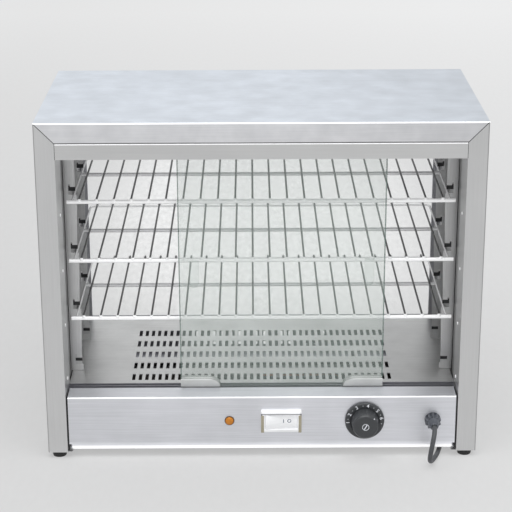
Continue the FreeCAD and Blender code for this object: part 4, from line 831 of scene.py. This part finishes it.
def facing_front(points):
    """Points (x, y, height) stood up so that their height grows towards the front."""
    return np.stack([points[..., 0], -points[..., 2], points[..., 1]], axis=-1)


def on_panel(grid, centre):
    """Grid stood up to face the front and set down at a centre."""
    points, wrap_u, wrap_v = grid
    return facing_front(points) + np.array(centre), wrap_u, wrap_v


amber = moulded("amber_lens", (0.62, 0.215, 0.008), roughness=0.2, Coat_Weight=0.2)
lamp_dark = moulded("lamp_ring_brown", (0.10, 0.055, 0.03))
black = moulded("black_moulding", (0.03, 0.03, 0.032))
low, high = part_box("pilot_lamp_bezel")
lamp_seat = ((low.x + high.x) / 2, high.y, (low.z + high.z) / 2)
lamp_ring = surface("lamp_ring", [on_panel(turned(eased(
    [(0.0062, 0), (0.0072, 0), (0.0072, 0.0012), (0.0067, 0.0016), (0.0062, 0.0016),
     (0.0062, 0)], 0.0004)), lamp_seat)], lamp_dark, "case")
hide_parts("pilot_lamp_bezel")
lamp_lens = surface("lamp_lens", [on_panel(turned(eased(
    [(0, -0.0008), (0.0061, -0.0008), (0.0061, 0.0022), (0.0052, 0.0036), (0.0027, 0.0043),
     (0, 0.0045)], 0.0008)), lamp_seat)], amber, "case")
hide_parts("pilot_lamp_lens")
wear(black, "pilot_lamp_body", "thermostat_body")

# ---------------------------------------------------------------- rocker switch
# White moulded rocker in a broad bevelled frame that snaps into the panel, with a tan strip
# down each side. The rocker tips about an upright pivot and is marked I and O.


def frame_ring(half_wide, half_tall, out, corner, steps=4):
    """Rectangle with quarter-circle corners at a height, as points of (x, y, height)."""
    quarter = np.linspace(0, math.pi / 2, steps)
    ring = []
    for number, (sign_x, sign_y) in enumerate(((1, 1), (-1, 1), (-1, -1), (1, -1))):
        bend = quarter + number * math.pi / 2
        ring += [(sign_x * (half_wide - corner) + corner * math.cos(a),
                  sign_y * (half_tall - corner) + corner * math.sin(a), out) for a in bend]
    return ring


def about_z(angle):
    """Matrix that turns points about Z by an angle."""
    cos, sin = math.cos(angle), math.sin(angle)
    return np.array([[cos, -sin, 0], [sin, cos, 0], [0, 0, 1]])


BOLDER = 0.012


def print_of(text, size, thick, centre, turn=0.0):
    """Raised lettering: points (x, y, height) and faces, lying around a centre."""
    letters = bpy.data.curves.new("letters", "FONT")
    letters.body = text
    letters.size = size
    letters.align_x, letters.align_y = "CENTER", "CENTER"
    letters.extrude = thick / 2
    letters.offset = size * BOLDER
    letters.resolution_u = 3
    holder = bpy.data.objects.new("letters", letters)
    mesh = bpy.data.meshes.new_from_object(holder)
    points = np.empty(len(mesh.vertices) * 3)
    mesh.vertices.foreach_get("co", points)
    points = points.reshape(-1, 3)
    faces = [list(face.vertices) for face in mesh.polygons]
    bpy.data.objects.remove(holder)
    bpy.data.curves.remove(letters)
    bpy.data.meshes.remove(mesh)
    return points @ about_z(turn).T + np.array(centre), faces


# The white moulding has a painted glow: an emission that lifts it.
white_with_glow = moulded("white_moulding", (0.88, 0.885, 0.89), roughness=0.3, Emission_Strength=1.0,
                Emission_Color=(0.17, 0.17, 0.175, 1))
tan = moulded("tan_moulding", (0.42, 0.38, 0.28))
mark_ink = moulded("mark_ink", (0.10, 0.13, 0.20))
low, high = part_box("switch_frame")
PROUD = 0.007
switch_seat = ((low.x + high.x) / 2, low.y + PROUD, (low.z + high.z) / 2)
rings = [(0.0300, 0.0175, 0.0, 0.0020), (0.0300, 0.0175, 0.0032, 0.0020),
         (0.0297, 0.0172, 0.0036, 0.0020), (0.0288, 0.0163, 0.0059, 0.0016),
         (0.0278, 0.0153, 0.0067, 0.0014), (0.0252, 0.0124, 0.0068, 0.0010),
         (0.0247, 0.0119, 0.0064, 0.0008), (0.0245, 0.0114, 0.0020, 0.0006),
         (0.0245, 0.0114, -0.0040, 0.0006)]
switch_rim = (np.array([frame_ring(*ring) for ring in rings]), False, True)
switch_back = (np.array([frame_ring(*ring) for ring in (
    (0.0249, 0.0134, 0.0, 0.001), (0.0249, 0.0134, -0.0240, 0.001),
    (0.0100, 0.0050, -0.0240, 0.001), (0.0001, 0.0001, -0.0240, 0.00005))]), False, True)
switch_case = surface("switch_case", [on_panel(switch_rim, switch_seat),
                                      on_panel(switch_back, switch_seat)], white_with_glow, "case")
strips = []
for way in (-1, 1):
    middle = way * 0.0276
    rise = [(0.0023, 0.0138, 0.0020, 0.0008), (0.0023, 0.0138, 0.00660, 0.0008),
            (0.0019, 0.0134, 0.00698, 0.0006), (0.0001, 0.0001, 0.00698, 0.00005)]
    grid = np.array([frame_ring(*ring, steps=3) for ring in rise]) + (middle, -0.0032, 0)
    strips.append(on_panel((grid, False, True), switch_seat))
seam_y = switch_seat[1] - 0.00699
seam_z = switch_seat[2] + 0.0118
seams = [slab(upright(switch_seat[0] - 0.0290, switch_seat[0] + 0.0290, seam_z, seam_z + 0.0010,
                      seam_y), 0.0010)]
for way in (-1, 1):
    seams.append(bead((switch_seat[0] + way * 0.0288, seam_y + 0.0008, seam_z),
                      (0.0012, 0.0006, 0.0016)))
switch_seams = surface("switch_seams", seams, moulded("seam_grey", (0.13, 0.13, 0.14)), "case")
switch_strips = surface("switch_strips", strips, tan, "case")
for piece in (switch_case, switch_seams, switch_strips):
    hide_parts("switch_frame")

ROCKER_TILT = math.radians(6)
ROCKER_HALF = 0.0234
stations = ROCKER_HALF * np.array([-1, -0.985, -0.94, -0.8, -0.6, -0.4, -0.2, 0,
                                   0.2, 0.4, 0.6, 0.8, 0.94, 0.985, 1])


def rocker_front(x):
    """How far the rocker's face stands out: least in the middle, growing as x squared."""
    return 0.0040 + 0.0015 * (x / ROCKER_HALF) ** 2


fronts = rocker_front(stations)
fronts[[0, -1]] -= 0.0012
fronts[[1, -2]] -= 0.0003
tilt = about_z(ROCKER_TILT)
rocker_bar = bar_along(stations, [bar_ring((-front, -0.011), (0.001, 0.011), 0.0009)
                                  for front in fronts])[0]
rocker_key = surface("rocker_key", [(rocker_bar @ tilt.T + switch_seat, False, True)],
                     white_with_glow, "rocker", sharp=50)


def printed(name, prints, material, body):
    """One mesh of several prints; each is (points, faces)."""
    first, points, faces = 0, [], []
    for some_points, some_faces in prints:
        points.append(some_points)
        faces += [[first + corner for corner in face] for face in some_faces]
        first += len(some_points)
    mesh = bpy.data.meshes.new(name)
    mesh.from_pydata(np.concatenate(points).tolist(), [], faces)
    mesh.materials.append(material)
    piece = shown(name, mesh)
    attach(piece, body)
    return piece


marks = []
for text, x in (("I", 0.0030), ("O", 0.0115)):
    points, faces = print_of(text, 0.0078, 0.0003, (x, 0, 0))
    points[:, 2] += rocker_front(points[:, 0])
    marks.append((facing_front(points) @ tilt.T + switch_seat, faces))
rocker_marks = printed("rocker_marks", marks, mark_ink, "rocker")
for piece in (rocker_key, rocker_marks):
    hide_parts("switch_rocker")
wear(white_with_glow, "terminal_block")

# ---------------------------------------------------------------- thermostat knob
# Charcoal moulded dial, printed with numbers and dots between them, and a tapered grip that
# carries a ring with a pointer line. It is pushed on the shaft of the thermostat.

charcoal = moulded("charcoal_knob", (0.042, 0.045, 0.049), roughness=0.35, Coat_Weight=0.3)
# The dial's ink has a painted glow: a faint emission.
dial_ink_with_glow = moulded("dial_ink_with_glow", (0.86, 0.88, 0.92), Emission_Strength=1.0,
                   Emission_Color=(0.10, 0.10, 0.11, 1))
low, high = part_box("thermostat_knob")
knob_seat = ((low.x + high.x) / 2, high.y, (low.z + high.z) / 2)
knob_reach = high.y - low.y
DIAL_TOP = 0.005
NUMBER_RING, DOT_RING = 0.0248, 0.0250
INK_THICK = 0.0002
knob_body = turned(eased(
    [(0, 0), (0.029, 0), (0.029, 0.0034), (0.0274, DIAL_TOP), (0.0216, DIAL_TOP),
     (0.0214, 0.0038), (0.0205, 0.0038), (0.0203, 0.0060), (0.0187, knob_reach - 0.0028),
     (0.0166, knob_reach), (0.0120, knob_reach - 0.0004), (0, knob_reach - 0.0004)],
    0.0010), 72)
dial = surface("knob_turned", [on_panel(knob_body, knob_seat)], charcoal, "knob", sharp=40)
prints = []
for number, degrees in enumerate((184, 154, 119, 80, 42, 11)):
    angle = math.radians(degrees)
    centre = (NUMBER_RING * math.cos(angle), NUMBER_RING * math.sin(angle), DIAL_TOP)
    prints.append(print_of(str(number + 1), 0.0074, INK_THICK, centre, angle - math.pi / 2))
for degrees in (172, 137, 97, 59, 24, 351):
    angle = math.radians(degrees)
    dot, dot_faces = print_of(".", 0.0075, INK_THICK, (0, 0, DIAL_TOP))
    centre = (DOT_RING * math.cos(angle), DOT_RING * math.sin(angle))
    dot[:, :2] += centre - dot[:, :2].mean(axis=0)
    prints.append((dot, dot_faces))
prints = [(facing_front(points) + knob_seat, faces) for points, faces in prints]
dial_print = printed("dial_print", prints, dial_ink_with_glow, "knob")
face_out = knob_reach - 0.0004
ring_line = turned([(0.0044, face_out - 0.0002), (0.0044, face_out + 0.0001),
                    (0.0051, face_out + 0.0001), (0.0051, face_out - 0.0002)], 40)
bar = np.array([frame_ring(half, wide, face_out + rise, 0.0002, steps=3)
                for half, wide, rise in ((0.0040, 0.0007, -0.0002), (0.0040, 0.0007, 0.0001),
                                         (0.0001, 0.0001, 0.0001))])
BAR_TURN = math.radians(60)
DOT_PLACE = (0.0178 * math.cos(0.8), 0.0178 * math.sin(0.8), knob_reach - 0.0011)
pointer = surface("knob_pointer", [
    on_panel(ring_line, knob_seat),
    on_panel((bar @ about_z(BAR_TURN).T, False, True), knob_seat),
    on_panel(bead(DOT_PLACE, (0.0010, 0.0010, 0.0006)), knob_seat)], dial_ink_with_glow, "knob")
for piece in (dial, dial_print, pointer):
    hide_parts("thermostat_knob")

# ---------------------------------------------------------------- cable gland
# Grey nylon gland around the lead: a ribbed collar against the panel, a tapered nose, and a
# thread that passes through the panel to the nut behind it.

nylon = moulded("gland_nylon", (0.075, 0.082, 0.100), roughness=0.3, Coat_Weight=0.4)
GLAND_OUT = 0.0265
gland_seat = (gland_centre.x, gland_low.y + GLAND_OUT, gland_centre.z)
gland_shell = turned(eased(
    [(0.0035, 0), (0.0120, 0), (0.0120, 0.0100), (0.0108, 0.0122), (0.0086, 0.0126),
     (0.0080, 0.0170), (0.0068, 0.0225), (0.0048, GLAND_OUT), (0.0036, GLAND_OUT),
     (0.0036, 0.0200)], 0.0012), 96, lobes=10, depth=0.0032, span=(0.0006, 0.0128))
gland_thread = turned([(0.0035, 0.0), (0.0080, 0.0), (0.0080, -0.0150), (0.0035, -0.0150)], 32)
gland_piece = surface("gland_shell", [on_panel(gland_shell, gland_seat),
                                      on_panel(gland_thread, gland_seat)], nylon, "case")
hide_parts("cable_gland")
wear(nylon, "gland_nut")

# ---------------------------------------------------------------- feet, plug and inside
# Four turned rubber feet screwed to the base, the moulded plug on the lead, and the copper,
# sheathed and insulated parts under the floor plate.

rubber = moulded("foot_rubber", (0.012, 0.012, 0.012))
for name in ("front_left_foot", "front_right_foot", "rear_left_foot", "rear_right_foot"):
    low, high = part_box(name)
    seat = np.array([(low.x + high.x) / 2, (low.y + high.y) / 2, low.z])
    wide, tall = (high.x - low.x) / 2, high.z - low.z
    shell = turned(eased([(0, 0.0012), (wide * 0.55, 0.0012), (wide * 0.58, 0),
                          (wide * 0.86, 0), (wide, tall - 0.0010), (wide, tall), (0, tall)],
                         0.0008), 40)[0]
    foot = surface(name + "_turned", [(shell + seat, False, True)], rubber, "case")
    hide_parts(name)
wear(black, "plug_body")
wear(moulded("copper_tube", (0.55, 0.25, 0.13), metallic=1.0), "thermostat_bulb",
     "thermostat_capillary")
wear(moulded("element_sheath", (0.10, 0.09, 0.085), metallic=0.8), "heating_element")
wear(moulded("core_insulation", (0.45, 0.05, 0.03)), "wiring_cores")
wear(moulded("pin_brass", (0.60, 0.50, 0.28), metallic=1.0), "plug_pins")
